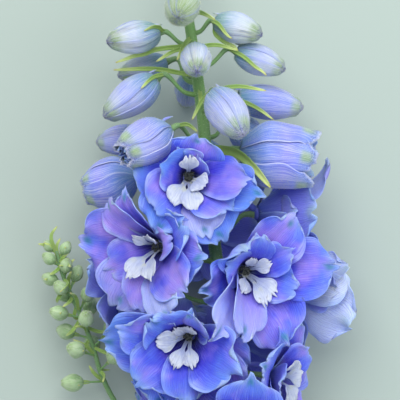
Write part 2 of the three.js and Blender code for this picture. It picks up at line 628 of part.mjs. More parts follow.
// A lobed leaf: the outline is worked out lobe by lobe, then filled by two rings and a middle
function leafBody({ node, blade, heading, radius, stalk }) {
  const outline = [];
  leafLobes.forEach((centre, k) => {
    const before = lobeEdge.slice(0, 2).reverse().map(([share, reach]) => [-share, reach]);
    const after = lobeEdge.slice(0, k < 4 ? 3 : 2);
    for (const [share, reach] of [...before, [0, 1], ...after]) {
      outline.push([centre + lobeHalfAngle * share, reach * lobeReach[k] * radius]);
    }
  });
  outline.push([140, radius * 0.34], [180, radius * 0.07], [-140, radius * 0.34]);
  const rings = [0.45, 1];
  const surface = (angle, reach, full) => {
    const share = reach / radius;
    const ridge = Math.cos(rad((angle * 180) / lobeHalfAngle)) * 0.05 * Math.min(full / radius, 1);
    return new THREE.Vector3(Math.sin(rad(angle)) * reach, Math.cos(rad(angle)) * reach,
      radius * (0.22 * share - 0.4 * share * share - ridge * share));
  };
  const middle = [new THREE.Vector3()];
  for (const share of rings) {
    for (const [angle, reach] of outline) middle.push(surface(angle, reach * share, reach));
  }
  const count = middle.length;
  const wide = outline.length;
  const half = new THREE.Vector3(0, 0, leafThickness / 2);
  const points = [...middle.map((p) => p.clone().add(half)), ...middle.map((p) => p.clone().sub(half))];
  const triangles = [];
  for (let k = 0; k < wide; k += 1) {
    const a = 1 + k;
    const b = 1 + ((k + 1) % wide);
    const c = a + wide;
    const d = b + wide;
    for (const [p, q, r] of [[0, b, a], [a, b, d], [a, d, c]]) {
      triangles.push([p, q, r], [p + count, r + count, q + count]);
    }
    triangles.push([c, d, d + count], [c, d + count, c + count]);
  }
  const turn = new THREE.Matrix4().makeRotationZ(rad(-heading)).setPosition(vector(blade));
  points.forEach((p) => p.applyMatrix4(turn));
  const start = stemAt(node);
  const end = vector(blade);
  const ahead = new THREE.Vector3(Math.sin(rad(heading)), Math.cos(rad(heading)), 0);
  const bow = start.clone().lerp(end, 0.5).add(new THREE.Vector3(0, 2, 1));
  const petiole = new THREE.CatmullRomCurve3([start, bow, end.clone().addScaledVector(ahead, -4)
    .addScaledVector(up, -2.2), end]);
  return unionOf([body(points, triangles), sweep(petiole, evenStations(5),
    (s) => ring(stalk * (1.2 - 0.9 * s * s), 5))]);
}

function geometryOf(solid) {
  const { vertProperties, triVerts } = solid.getMesh();
  const geometry = new THREE.BufferGeometry();
  geometry.setAttribute('position', new THREE.BufferAttribute(Float32Array.from(vertProperties), 3));
  geometry.setIndex(new THREE.BufferAttribute(Uint32Array.from(triVerts), 1));
  geometry.computeVertexNormals();
  return geometry;
}

const plant = new THREE.Group();

function addMesh(name, solid, material) {
  const mesh = new THREE.Mesh(geometryOf(solid), material);
  mesh.name = name;
  plant.add(mesh);
}

const inPlace = (solid, matrix) => solid.transform(matrix.elements);

// Stalks and stem come first, and everything later is cut clear of what is already there
const directionOf = (organ) => (organ.tip
  ? vector(organ.tip).sub(vector(organ.base)).normalize() : lookAlong(organ));
const organs = [...closedBuds, ...openingBuds, ...flowers];
const stalks = organs.map((organ) => pedicelLine(organ, directionOf(organ)));
const stemSteps = 18;
const axis = taperedLine(stemLine, 7, stemSteps);
const axisCutter = taperedLine(stemLine, 7, stemSteps, gap);
const stalkCutters = stalks.map((curve) => pedicelBody(curve, gap));
const claimed = [axisCutter, ...stalkCutters, ...tipBudBodies()];

function addOrgan(name, organ, build, material) {
  const matrix = facing(organ.base, directionOf(organ));
  addMesh(name, largestPiece(cutClear(inPlace(build(organ, 0), matrix), claimed)), material);
  claimed.push(inPlace(build(organ, gap), matrix));
}

for (const flower of flowers) {
  addOrgan(`${flower.name}_petals`, flower, bloomBody, materials.petals);
  addOrgan(`${flower.name}_bee`, flower, beeBody, materials.bee);
}
for (const bud of openingBuds) addOrgan(bud.name, bud, openingBody, materials.opening);
for (const bud of closedBuds) addOrgan(bud.name, bud, closedBody, materials.bud);
const shoot = largestPiece(cutClear(sideShootBody(), claimed));
addMesh('side_shoot', shoot, materials.shoot);
claimed.push(shoot);
for (const leaf of leaves) {
  const solid = largestPiece(cutClear(leafBody(leaf), claimed));
  addMesh(leaf.name, solid, materials.leaf);
  claimed.push(solid);
}
const bracts = organs.flatMap((organ, k) => bractBodies(organ, stalks[k], directionOf(organ)));
const others = claimed.slice(1 + stalks.length + tipBuds.count);
const trimmed = bracts.map((bract) => cutClear(bract, others));
const green = unionOf([axis, ...stalks.map((curve) => pedicelBody(curve, 0)), ...tipBudBodies(),
  ...trimmed]);
addMesh('stem', largestPiece(green), materials.stem);

plant.position.copy(vector(layShift));

export default plant;
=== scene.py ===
# Delphinium: the looks of one cut flowering stem that lies on its back.
# Sizes are in millimetres in the stem's own frame: Y runs to the tip, Z is up from the surface.
import math

import bpy
import numpy as np
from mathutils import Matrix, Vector


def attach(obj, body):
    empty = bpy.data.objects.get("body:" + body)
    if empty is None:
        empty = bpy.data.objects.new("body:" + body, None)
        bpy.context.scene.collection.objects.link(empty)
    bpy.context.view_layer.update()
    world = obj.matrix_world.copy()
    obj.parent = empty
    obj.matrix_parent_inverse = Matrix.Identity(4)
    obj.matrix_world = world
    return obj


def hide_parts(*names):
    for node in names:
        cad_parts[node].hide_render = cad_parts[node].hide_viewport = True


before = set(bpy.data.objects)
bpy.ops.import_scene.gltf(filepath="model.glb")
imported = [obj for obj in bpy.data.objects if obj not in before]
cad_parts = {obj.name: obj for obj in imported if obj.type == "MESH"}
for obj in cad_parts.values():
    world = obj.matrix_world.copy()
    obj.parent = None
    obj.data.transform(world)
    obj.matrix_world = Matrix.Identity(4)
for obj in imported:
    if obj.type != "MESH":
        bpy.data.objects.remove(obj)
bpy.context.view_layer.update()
print("frame loaded:", len(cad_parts), "nodes")

layShift = np.array([-7.01, 40.86, 38.26])  # from the stem's own frame to the frame of the solids
alongStem = np.array([0.0, 1.0, 0.0])
upward = np.array([0.0, 0.0, 1.0])
goldenTurn = 137.5  # degrees from one bud to the next


# Lines, sheets and tubes
def unit(vector):
    return vector / np.linalg.norm(vector)


def rowUnits(vectors):
    return vectors / np.maximum(np.linalg.norm(vectors, axis=-1, keepdims=True), 1e-9)


def stacked(*grids):  # the parts of a vector, put together at every point
    return np.stack(np.broadcast_arrays(*grids), axis=-1)


def smooth(low, high, value):  # 0 below low, 1 above high, with soft ends
    x = np.clip((value - low) / (high - low), 0, 1)
    return x * x * (3 - 2 * x)


def between(low, high, along):
    return low + (high - low) * along


def wayAt(degrees):  # level, and turned from the stem's own line
    turn = math.radians(degrees)
    return np.array([math.sin(turn), math.cos(turn), 0.0])


def curveThrough(points, count):  # evenly spaced points on a soft curve through the given ones
    given = [np.array(p, float) for p in points]
    ends = [2 * given[0] - given[1], *given, 2 * given[-1] - given[-2]]
    fine = []
    for k in range(len(given) - 1):
        four = ends[k:k + 4]
        gaps = [max(np.linalg.norm(b - a), 1e-6) ** 0.5 for a, b in zip(four, four[1:])]
        knots = np.cumsum([0] + gaps)
        for u in np.linspace(knots[1], knots[2], 24, endpoint=False):
            line = four
            for spans in (((0, 1), (1, 2), (2, 3)), ((0, 2), (1, 3)), ((1, 2),)):
                line = [a + (b - a) * (u - knots[i]) / (knots[j] - knots[i])
                        for a, b, (i, j) in zip(line, line[1:], spans)]
            fine.append(line[0])
    fine = np.array([*fine, given[-1]])
    steps = np.linalg.norm(np.diff(fine[:, :3], axis=0), axis=1)
    lengths = np.concatenate([[0], np.cumsum(steps)])
    places = np.linspace(0, lengths[-1], count)
    return np.stack([np.interp(places, lengths, fine[:, c]) for c in range(fine.shape[1])], axis=1)


def framesAlong(path, firstNormal):  # normal and side at each point, without twist
    tangents = rowUnits(np.gradient(path, axis=0))
    normals = [np.array(firstNormal, float)]
    for tangent in tangents:
        normals.append(unit(normals[-1] - tangent * normals[-1].dot(tangent)))
    normals = np.array(normals[1:])
    return normals, np.cross(tangents, normals)


def facing(base, direction):  # rows are the organ's own axes: z is the way it faces
    z = unit(np.array(direction, float))
    y = unit(alongStem - z * alongStem.dot(z))
    return np.array(base, float), np.array([np.cross(y, z), y, z])


def gridFaces(rows, columns, start=0, ring=False):
    across = columns if ring else columns - 1
    i, j = np.meshgrid(np.arange(rows - 1), np.arange(across), indexing="ij")
    a, b = start + i * columns + j, start + i * columns + (j + 1) % columns
    return stacked(a, b, b + columns, a + columns).reshape(-1, 4)


def wallFaces(loop, rise):  # from a closed loop of points to the same loop, rise places on
    following = np.roll(loop, -1)
    return stacked(loop, following, following + rise, loop + rise)


def solidPart(points, faces, space, tone=(0, 0, 0)):  # space and tone are kept for each point
    return {"points": points, "faces": faces, "space": space,
            "tone": np.tile(np.array(tone, float), (len(points), 1))}


def sheet(grid, thickness, space, tone):  # a closed thin blade, with its front marked in its tone
    rows, columns = grid.shape[:2]
    count, margin = rows * columns, 0.85
    s, t = np.linspace(0, 1, rows)[:, None, None], np.linspace(-1, 1, columns)[None, :, None]
    edge = np.sqrt(1 - margin * np.abs(t) ** 10) * np.sqrt(1 - margin * s ** 24)
    normal = rowUnits(np.cross(np.gradient(grid, axis=1), np.gradient(grid, axis=0)))
    half = thickness / 2 * edge * normal
    rim = np.concatenate([np.arange(columns), np.arange(2, rows) * columns - 1,
                          count - 1 - np.arange(columns), (rows - 2 - np.arange(rows - 2)) * columns])
    faces = [gridFaces(rows, columns)[:, ::-1], gridFaces(rows, columns, count), wallFaces(rim, count)]
    part = solidPart(np.concatenate([(grid - half).reshape(-1, 3), (grid + half).reshape(-1, 3)]),
                     faces, np.tile(stacked(*space).reshape(-1, 3), (2, 1)), tone)
    part["tone"][count:, 0] = 1
    return part


def tube(path, radii, sides, seed=0.0, tone=(0, 0, 0), ribs=0, ribDepth=0.0, firstNormal=alongStem):
    path = np.array(path, float)
    rows, count = len(path), len(path) * sides
    normals, others = framesAlong(path, firstNormal)
    turn = 2 * np.pi * np.arange(sides) / sides
    reach = 1 + ribDepth * np.cos(ribs * turn)
    radii = np.broadcast_to(np.array(radii, float), (rows,))[:, None]
    rings = (path[:, None] + normals[:, None] * (radii * (np.cos(turn) * reach))[..., None]
             + others[:, None] * (radii * (np.sin(turn) * reach))[..., None])
    k = np.arange(sides)
    following, last = (k + 1) % sides, count - sides
    faces = [gridFaces(rows, sides, ring=True), stacked(count, following, k),
             stacked(count + 1, last + k, last + following)]
    space = stacked(np.linspace(0, 1, rows)[:, None], k / sides * 2 - 1, seed).reshape(-1, 3)
    return solidPart(np.concatenate([rings.reshape(-1, 3), path[:1], path[-1:]]), faces,
                     np.concatenate([space, [[0, 0, seed], [1, 0, seed]]]), tone)


def hoop(loop, radius, tone):  # a thin ring along a closed loop of points
    count, sides = len(loop), 6
    middle = loop.mean(axis=0)
    axis = unit(np.cross(loop[1] - loop[0], loop[0] - middle))
    turn = 2 * np.pi * np.arange(sides) / sides
    rings = (loop[:, None] + rowUnits(loop - middle)[:, None] * (np.cos(turn) * radius)[None, :, None]
             + axis * (np.sin(turn) * radius)[None, :, None])
    i, j = np.meshgrid(np.arange(count), np.arange(sides), indexing="ij")
    here, ahead, following = i * sides, (i + 1) % count * sides, (j + 1) % sides
    faces = stacked(here + j, here + following, ahead + following, ahead + j).reshape(-1, 4)
    return solidPart(rings.reshape(-1, 3), [faces], np.zeros((count * sides, 3)), tone)


def ball(centre, axes, radii, seed, tone, rows, sides):
    polar = [*np.linspace(0.06, 1, rows - 1, endpoint=False) * np.pi, np.pi * 0.985]
    path = np.array([np.array(centre) - axes[2] * radii[1] * math.cos(a) for a in polar])
    return tube(path, [radii[0] * math.sin(a) for a in polar], sides, seed, tone, firstNormal=axes[1])


hairSizes = {"width": 0.09, "sunk": 0.05, "lean": 0.35, "tall": (0.5, 1.25)}


def fuzzOn(parts, density, length, rng):  # short tapering hairs over the outer faces
    spikes = []
    for part in parts:
        quads = np.concatenate([f for f in part["faces"] if f.shape[1] == 4])
        quads = quads[(part["tone"][quads, 0] < 0.5).all(axis=1)]
        corners = part["points"][quads]
        normal = np.cross(corners[:, 2] - corners[:, 0], corners[:, 3] - corners[:, 1])
        area = np.linalg.norm(normal, axis=1) / 2
        count = int(area.sum() * density)
        chosen = rng.choice(len(quads), count, p=area / area.sum())
        u, v = rng.uniform(0, 1, (2, count, 1))
        a, b, c, d = corners[chosen].transpose(1, 0, 2)
        root = (a * (1 - u) + b * u) * (1 - v) + (d * (1 - u) + c * u) * v
        outward = normal[chosen] / np.maximum(2 * area[chosen, None], 1e-9)
        way = rowUnits(outward + rng.normal(0, hairSizes["lean"], (count, 3)))
        side = rowUnits(np.cross(way, rng.normal(0, 1, (count, 3))))
        other = np.cross(way, side)
        tall = length * rng.uniform(*hairSizes["tall"], (count, 1))
        foot = [root - outward * hairSizes["sunk"]
                + (side * math.cos(turn) + other * math.sin(turn)) * hairSizes["width"] / 2
                for turn in (0, 2.094, 4.189)]
        spikes.append(np.stack([*foot, root + way * tall], axis=1))
    points = np.concatenate(spikes).reshape(-1, 3)
    starts = np.arange(0, len(points), 4)[:, None]
    faces = np.concatenate([starts + np.array(f) for f in ([0, 1, 3], [1, 2, 3], [2, 0, 3], [2, 1, 0])])
    space = np.zeros((len(points), 3))
    space[3::4, 0] = 1
    return solidPart(points, [faces], space)


def moved(part, place):  # from an organ's own frame to the stem's
    base, axes = place
    return {**part, "points": part["points"] @ axes + base}


def newObject(name, data):
    made = bpy.data.objects.new(name, data)
    bpy.context.scene.collection.objects.link(made)
    return made


pressDepth = 0.5  # what would come lower is squeezed into this height over the surface


def addPiece(name, parts, material, replaced=()):
    mesh = bpy.data.meshes.new(name)
    starts = np.cumsum([0] + [len(p["points"]) for p in parts])
    points = np.concatenate([p["points"] for p in parts]) + layShift
    low = points[:, 2] < pressDepth
    points[low, 2] = pressDepth * np.exp(points[low, 2] / pressDepth - 1)
    faces = [row for start, p in zip(starts, parts) for group in p["faces"]
             for row in (group + start).tolist()]
    mesh.from_pydata(points / 1000, [], faces)
    for label in ("space", "tone"):
        kept = mesh.attributes.new(label, "FLOAT_VECTOR", "POINT")
        kept.data.foreach_set("vector", np.concatenate([p[label] for p in parts]).ravel())
    mesh.shade_smooth()
    mesh.materials.append(material)
    mesh.update()
    piece = newObject(name, mesh)
    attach(piece, "root")
    if replaced:
        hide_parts(*replaced)


# Shader nodes
def linear(code):  # "7a6ee1" as the shader's own red, green, blue and alpha
    parts = [int(code[k:k + 2], 16) / 255 for k in (0, 2, 4)]
    return tuple(c / 12.92 if c <= 0.04045 else ((c + 0.055) / 1.055) ** 2.4 for c in parts) + (1.0,)


def put(tree, kind, sockets, **settings):
    made = tree.nodes.new("ShaderNode" + kind)
    for key, value in settings.items():
        setattr(made, key, value)
    for key, value in sockets.items():
        if isinstance(value, bpy.types.NodeSocket):
            tree.links.new(value, made.inputs[key])
        else:
            made.inputs[key].default_value = value
    return made


def sums(tree, operation, *values):
    return put(tree, "Math", dict(enumerate(values)), operation=operation).outputs[0]


def scaled(tree, value, by, plus=0.0):
    return sums(tree, "MULTIPLY_ADD", value, by, plus)


def band(tree, value, low, high):  # 0 to 1 as value goes from low to high
    sockets = {"Value": value, "From Min": low, "From Max": high}
    return put(tree, "MapRange", sockets, interpolation_type="SMOOTHSTEP").outputs[0]


def share(tree, *factors):  # their product, where (value, low, high) is a band
    factors = [band(tree, *f) if isinstance(f, tuple) else f for f in factors]
    result = factors[0]
    for factor in factors[1:]:
        result = sums(tree, "MULTIPLY", result, factor)
    return result


def farFrom(tree, value, middle):
    return sums(tree, "ABSOLUTE", sums(tree, "SUBTRACT", value, middle))


def blend(tree, amount, first, second, mode="MIX"):
    sockets = {0: amount, 6: first, 7: second}
    return put(tree, "Mix", sockets, data_type="RGBA", blend_type=mode).outputs[2]


def layered(tree, colour, look, *layers):  # a layer is a colour's name and the factors of its share
    for name, *factors in layers:
        colour = blend(tree, share(tree, *factors), colour, linear(look[name]))
    return colour


def mottled(tree, colour, value, amount, least):  # darker and lighter as the value changes
    return blend(tree, 1.0, colour, scaled(tree, value, amount, least), "MULTIPLY")


def ramp(tree, value, stops):
    made = put(tree, "ValToRGB", {0: value})
    elements = made.color_ramp.elements
    while len(elements) < len(stops):
        elements.new(0.5)
    for element, (place, code) in zip(elements, stops):
        element.position = place
        element.color = linear(code)
    return made.outputs[0]


def noise(tree, vector, scale, detail, roughness=0.5):
    sockets = {"Vector": vector, "Scale": scale, "Detail": detail, "Roughness": roughness}
    return put(tree, "TexNoise", sockets).outputs[0]


def startGroup(name, inputs, outputs):
    group = bpy.data.node_groups.new(name, "ShaderNodeTree")
    for label, kind, value in inputs:
        socket = group.interface.new_socket(name=label, in_out="INPUT", socket_type="NodeSocket" + kind)
        if value is not None:
            socket.default_value = value
    for label in outputs:
        group.interface.new_socket(name=label, in_out="OUTPUT", socket_type="NodeSocketFloat")
    return group, group.nodes.new("NodeGroupInput").outputs, group.nodes.new("NodeGroupOutput").inputs


def makeVeins():  # thin lines that run from a blade's root and fan out with it
    group, given, result = startGroup("bladeVeins", [
        ("Space", "Vector", None), ("Lines", "Float", 9.0), ("Wander", "Float", 0.6)], ["Mask", "Height"])
    s, t, seed = put(group, "SeparateXYZ", {0: given["Space"]}).outputs
    drift = sums(group, "SUBTRACT", noise(group, given["Space"], 3.0, 2.0), 0.5)
    across = scaled(group, share(group, drift, given["Wander"]), 4.0, share(group, t, given["Lines"]))
    seeded = scaled(group, seed, 7.3, across)
    wave = sums(group, "ABSOLUTE", sums(group, "SINE", scaled(group, seeded, math.pi)))
    mask = band(group, wave, 0.42, 0.0)
    streak = put(group, "CombineXYZ", {0: scaled(group, seeded, 2.6), 1: scaled(group, s, 2.2), 2: seed})
    fine = noise(group, streak.outputs[0], 1.0, 3.0, 0.6)
    group.links.new(mask, result["Mask"])
    group.links.new(scaled(group, mask, -0.5, fine), result["Height"])
    return group


def makeMottle():  # cloudy change over the surface, with a fine grain in it
    group, given, result = startGroup(
        "softMottle", [("Cloud", "Float", 90.0), ("Grain", "Float", 1400.0)], ["Cloud", "Grain"])
    where = put(group, "TexCoord", {}).outputs["Object"]
    group.links.new(noise(group, where, given["Cloud"], 2.0), result["Cloud"])
    group.links.new(noise(group, where, given["Grain"], 4.0, 0.65), result["Grain"])
    return group


veinsGroup = makeVeins()
mottleGroup = makeMottle()


def makeMaterial(name, look, paint):  # paint turns the marks on the mesh into a colour and a height
    made = bpy.data.materials.new(name)
    made.use_nodes = True
    tree = made.node_tree
    marks = {}
    for label, parts in (("space", ("s", "t", "seed")), ("tone", ("front", "kind", "hue"))):
        read = put(tree, "Attribute", {}, attribute_type="GEOMETRY", attribute_name=label)
        marks[label] = read.outputs["Vector"]
        marks.update(zip(parts, put(tree, "SeparateXYZ", {0: marks[label]}).outputs))
    marks["edge"] = sums(tree, "ABSOLUTE", marks["t"])
    sockets = {"Cloud": look["cloud"], "Grain": look["grain"]}
    marks["cloud"], marks["grain"] = put(tree, "Group", sockets, node_tree=mottleGroup).outputs
    if "lines" in look:
        sockets = {"Space": marks["space"], "Lines": look["lines"], "Wander": look["wander"]}
        marks["mask"], marks["height"] = put(tree, "Group", sockets, node_tree=veinsGroup).outputs
    colour, height = paint(tree, look, **marks)
    bump = put(tree, "Bump", {"Strength": look["bump"], "Distance": look["bumpDepth"] / 1000,
                              "Height": height})
    shader = tree.nodes["Principled BSDF"]
    tree.links.new(colour, shader.inputs["Base Color"])
    tree.links.new(bump.outputs[0], shader.inputs["Normal"])
    finish = {"Roughness": look["roughness"], "Specular IOR Level": look["specular"],
              "Sheen Weight": look["sheen"], "Sheen Roughness": 0.5, "Sheen Tint": linear(look["sheenTint"]),
              "Subsurface Weight": look["glow"], "Subsurface Radius": look["glowRadius"],
              "Subsurface Scale": look["glowDepth"] / 1000}
    for socket, value in finish.items():
        shader.inputs[socket].default_value = value
    return made


# What each surface looks like. s runs from root to tip, edge from the midline to a margin.
petalLook = {
    "bump": 0.6, "bumpDepth": 0.45, "roughness": 0.5, "specular": 0.28, "sheen": 0.12,
    "sheenTint": "c9d4ff", "glow": 0.55, "glowRadius": (0.5, 0.6, 1.0), "glowDepth": 0.9,
    "lines": 15.0, "wander": 0.9, "cloud": 95.0, "grain": 1500.0,
    # along: darkest at the root, partly the petal's own deep blue and partly painted shade of the throat
    "along": [(0.0, "0c0b2e"), (0.2, "221a90"), (0.38, "3b34d0"), (0.64, "4d5ae6"), (0.88, "6c86f2"),
              (1.0, "84a4f8")],
    "back": [(0.0, "4a62c0"), (0.35, "6a72dc"), (0.7, "8288e8"), (1.0, "9bb2f4")],
    "lilac": "9a86ec", "pink": "b898ee", "pale": "b2beff", "paleBack": "c4d2ff", "sky": "5f93f2",
    # rim: a painted highlight, laid along the margins and the tip and on the raised relief
    "rim": "a9c6fa", "spot": "23808c", "green": "9dbb86", "line": "332fc0",
}


def paintPetal(tree, look, s, edge, front, kind, hue, mask, height, cloud, grain, **others):
    lean = scaled(tree, sums(tree, "MINIMUM", hue, 0.9), 0.2, cloud)
    inside = layered(tree, ramp(tree, s, look["along"]), look,
                     ("lilac", (lean, 0.42, 0.72), (s, 0.1, 0.5), 0.8),
                     ("pale", (hue, 0.9, 2.0), (s, 0.2, 0.8)),
                     ("pink", (lean, 0.62, 0.86), (s, 0.3, 0.6), (hue, 1.5, 0.9), 0.5),
                     ("sky", (lean, 0.46, 0.22), (s, 0.3, 0.9), 0.7))
    outside = layered(tree, ramp(tree, s, look["back"]), look,
                      ("paleBack", (hue, 0.5, 1.4), (s, 0.1, 0.5)),
                      ("green", (s, 0.72, 0.95), (edge, 0.3, 0.05), 0.5))
    # Painted highlight: the rim colour along the margins and the tip, and again where the relief stands
    # high.
    rim = sums(tree, "MAXIMUM", band(tree, edge, 0.62, 1.05), band(tree, s, 0.8, 1.03))
    colour = layered(tree, blend(tree, front, outside, inside), look,
                     ("rim", rim, (cloud, 0.2, 0.75), 0.74),
                     ("spot", (farFrom(tree, s, 0.88), 0.1, 0.0), (edge, 0.24, 0.02), kind, front, 0.75),
                     ("rim", (height, 0.5, 0.74), 0.28),
                     ("line", mask, 0.42))
    return mottled(tree, colour, grain, 0.24, 0.88), scaled(tree, grain, 0.5, height)


budLook = {
    "bump": 0.5, "bumpDepth": 0.3, "roughness": 0.6, "specular": 0.28, "sheen": 0.3,
    "sheenTint": "e6ecff", "glow": 0.35, "glowRadius": (0.7, 0.8, 1.0), "glowDepth": 1.0,
    "lines": 9.0, "wander": 0.5, "cloud": 130.0, "grain": 2200.0,
    "young": [(0.0, "4f8672"), (0.24, "7fa9a0"), (0.52, "c2d0e0"), (0.74, "c2d0c0"), (0.9, "8fa968"),
              (1.0, "8d8fc0")],
    "ripe": [(0.0, "4f889c"), (0.2, "6488cc"), (0.5, "8f92e6"), (0.76, "9ca6e4"), (0.9, "93a690"),
             (1.0, "8f8fd2")],
    "open": [(0.0, "4f8ab8"), (0.3, "6a8ada"), (0.6, "9393ee"), (0.85, "798eee"), (1.0, "82a4f8")],
    "hair": "dbe0f6", "blue": "6376d2", "green": "7c9a56", "violet": "453f86", "fresh": "86a05e",
    "spot": "8fae62",
}


def paintBud(tree, look, s, edge, kind, mask, height, cloud, grain, **others):  # kind: how ripe it is
    colour = blend(tree, kind, ramp(tree, s, look["young"]), ramp(tree, s, look["ripe"]))
    colour = blend(tree, band(tree, kind, 0.85, 1.2), colour, ramp(tree, s, look["open"]))
    rim = sums(tree, "MAXIMUM", band(tree, edge, 0.94, 1.0), band(tree, s, 0.95, 1.0))
    colour = layered(
        tree, colour, look,
        ("blue", (cloud, 0.42, 0.68), scaled(tree, kind, 0.32, 0.2)),
        ("green", (farFrom(tree, s, 0.89), 0.16, 0.02), (edge, 0.95, 0.2), scaled(tree, kind, -0.6, 1.0)),
        ("spot", (farFrom(tree, s, 0.86), 0.12, 0.03), (edge, 0.5, 0.12), (kind, 0.86, 0.94), 0.8),
        ("fresh", (kind, 0.0, -0.8), (s, 0.0, 0.5)),
        ("hair", (height, 0.4, 0.62), scaled(tree, kind, -0.15, 0.6), (kind, -1.3, 0.1), (s, -0.3, 0.45)),
        ("violet", (grain, 0.46, 0.6), (s, 0.86, 0.97), 0.75),
        # Painted shade: deeper blue along the sepals' edges, the shadow line where they lap at the seams
        ("blue", (edge, 0.72, 0.95), 0.35),
        ("hair", rim, (kind, 0.3, 0.9), 0.6),
        ("blue", mask, 0.26))
    return mottled(tree, colour, cloud, 0.25, 0.88), scaled(tree, grain, 0.8, height)


beeLook = {
    "bump": 0.6, "bumpDepth": 0.5, "roughness": 0.55, "specular": 0.35, "sheen": 0.25,
    "sheenTint": "ffffff", "glow": 0.3, "glowRadius": (0.8, 0.9, 1.0), "glowDepth": 0.8,
    "lines": 4.0, "wander": 0.6, "cloud": 260.0, "grain": 2400.0,
    "along": [(0.0, "4d5668"), (0.25, "7a88ae"), (0.5, "a9b4d4"), (0.75, "c3cbe0"), (1.0, "d2d9e8")],
    "shade": "8d98cc", "cream": "cbcfa0",
}


def paintBee(tree, look, s, mask, height, cloud, grain, **others):
    colour = layered(tree, ramp(tree, s, look["along"]), look,
                     ("shade", (cloud, 0.45, 0.7), 0.4),
                     ("cream", (cloud, 0.5, 0.3), (s, 0.8, 0.45), 0.5),
                     ("shade", mask, 0.4))
    return colour, scaled(tree, grain, 0.8, height)


stamenLook = {
    "bump": 0.4, "bumpDepth": 0.15, "roughness": 0.6, "specular": 0.3, "sheen": 0.1,
    "sheenTint": "b8c0a8", "glow": 0.0, "glowRadius": (1, 1, 1), "glowDepth": 0.3,
    "cloud": 500.0, "grain": 5200.0, "thread": "7c86a8", "anther": "3b403e", "pollen": "a3a088",
}


def paintStamen(tree, look, kind, cloud, grain, **others):  # kind: 0 on a thread, 1 on an anther
    colour = layered(tree, linear(look["thread"]), look, ("anther", kind),
                     ("pollen", (grain, 0.56, 0.72), kind, 0.6))
    return mottled(tree, colour, cloud, 0.5, 0.75), grain


greenLook = {
    "bump": 0.35, "bumpDepth": 0.25, "roughness": 0.5, "specular": 0.4, "sheen": 0.25,
    "sheenTint": "e6f2cf", "glow": 0.35, "glowRadius": (0.6, 1.0, 0.4), "glowDepth": 1.0,
    "lines": 5.0, "wander": 0.2, "cloud": 120.0, "grain": 2000.0,
    "stem": "6d9856", "pedicel": "6d9266", "bract": "86a555", "bractTip": "c6d48a", "brown": "c3a45e",
    "pith": "c9d3a6", "vein": "3f6b33",
}


def paintGreen(tree, look, s, kind, hue, mask, height, cloud, grain, **others):  # hue: how far it is pith
    colour = layered(tree, linear(look["stem"]), look, ("pedicel", (s, 0.0, 1.0)))
    leafy = layered(tree, linear(look["bract"]), look, ("bractTip", (s, 0.55, 1.0)),
                    ("brown", (s, 0.93, 1.0), 0.5))
    colour = layered(tree, blend(tree, kind, colour, leafy), look, ("pith", hue), ("vein", mask, 0.18))
    return mottled(tree, colour, cloud, 0.5, 0.78), scaled(tree, grain, 0.8, height)


leafLook = {
    "bump": 0.5, "bumpDepth": 0.5, "roughness": 0.5, "specular": 0.4, "sheen": 0.15,
    "sheenTint": "d9ecc6", "glow": 0.25, "glowRadius": (0.5, 1.0, 0.3), "glowDepth": 0.8,
    "cloud": 70.0, "grain": 1300.0, "top": "44702f", "low": "7c9c66", "vein": "86a860", "edge": "8a8f4a",
}


def paintLeaf(tree, look, s, edge, front, kind, cloud, grain, **others):  # kind: how near a rib it is
    slant = scaled(tree, edge, -2.2, scaled(tree, s, 9.0))
    side = sums(tree, "ABSOLUTE", sums(tree, "SINE", scaled(tree, slant, math.pi)))
    veins = sums(tree, "MAXIMUM", band(tree, kind, 0.3, 1.0),
                 share(tree, (side, 0.16, 0.0), (s, 0.2, 0.35), 0.6))
    colour = layered(tree, linear(look["low"]), look, ("top", front), ("vein", veins, 0.65),
                     ("edge", (s, 0.93, 1.0), (cloud, 0.5, 0.65)))
    return mottled(tree, colour, cloud, 0.7, 0.65), sums(tree, "SUBTRACT", scaled(tree, grain, 0.5), veins)


shootLook = {
    "bump": 0.4, "bumpDepth": 0.3, "roughness": 0.55, "specular": 0.35, "sheen": 0.3,
    "sheenTint": "f1f7e6", "glow": 0.3, "glowRadius": (0.7, 1.0, 0.5), "glowDepth": 1.0,
    "lines": 4.0, "wander": 0.4, "cloud": 200.0, "grain": 2200.0,
    "along": [(0.0, "6f9560"), (0.5, "92b282"), (0.85, "a6c096"), (1.0, "82a562")], "hair": "d3e0c4",
}


def paintShoot(tree, look, s, height, cloud, grain, **others):
    colour = layered(tree, ramp(tree, s, look["along"]), look, ("hair", (height, 0.3, 0.7), 0.35))
    return mottled(tree, colour, cloud, 0.5, 0.78), scaled(tree, grain, 0.8, height)


hairLook = {
    "bump": 0.1, "bumpDepth": 0.05, "roughness": 0.5, "specular": 0.4, "sheen": 0.0,
    "sheenTint": "ffffff", "glow": 0.0, "glowRadius": (1, 1, 1), "glowDepth": 0.3,
    "cloud": 300.0, "grain": 3000.0, "root": "b9c99a", "tip": "f2f6ea",
}


def paintHair(tree, look, s, cloud, grain, **others):
    colour = layered(tree, linear(look["root"]), look, ("tip", s))
    return mottled(tree, colour, cloud, 0.3, 0.85), grain


petalSkin = makeMaterial("petalSkin", petalLook, paintPetal)
budSkin = makeMaterial("budSkin", budLook, paintBud)
beeSkin = makeMaterial("beeSkin", beeLook, paintBee)
stamenSkin = makeMaterial("stamenSkin", stamenLook, paintStamen)
greenSkin = makeMaterial("stemSkin", greenLook, paintGreen)
leafSkin = makeMaterial("leafSkin", leafLook, paintLeaf)
shootSkin = makeMaterial("shootSkin", shootLook, paintShoot)
hairSkin = makeMaterial("hairSkin", hairLook, paintHair)
print("materials made")

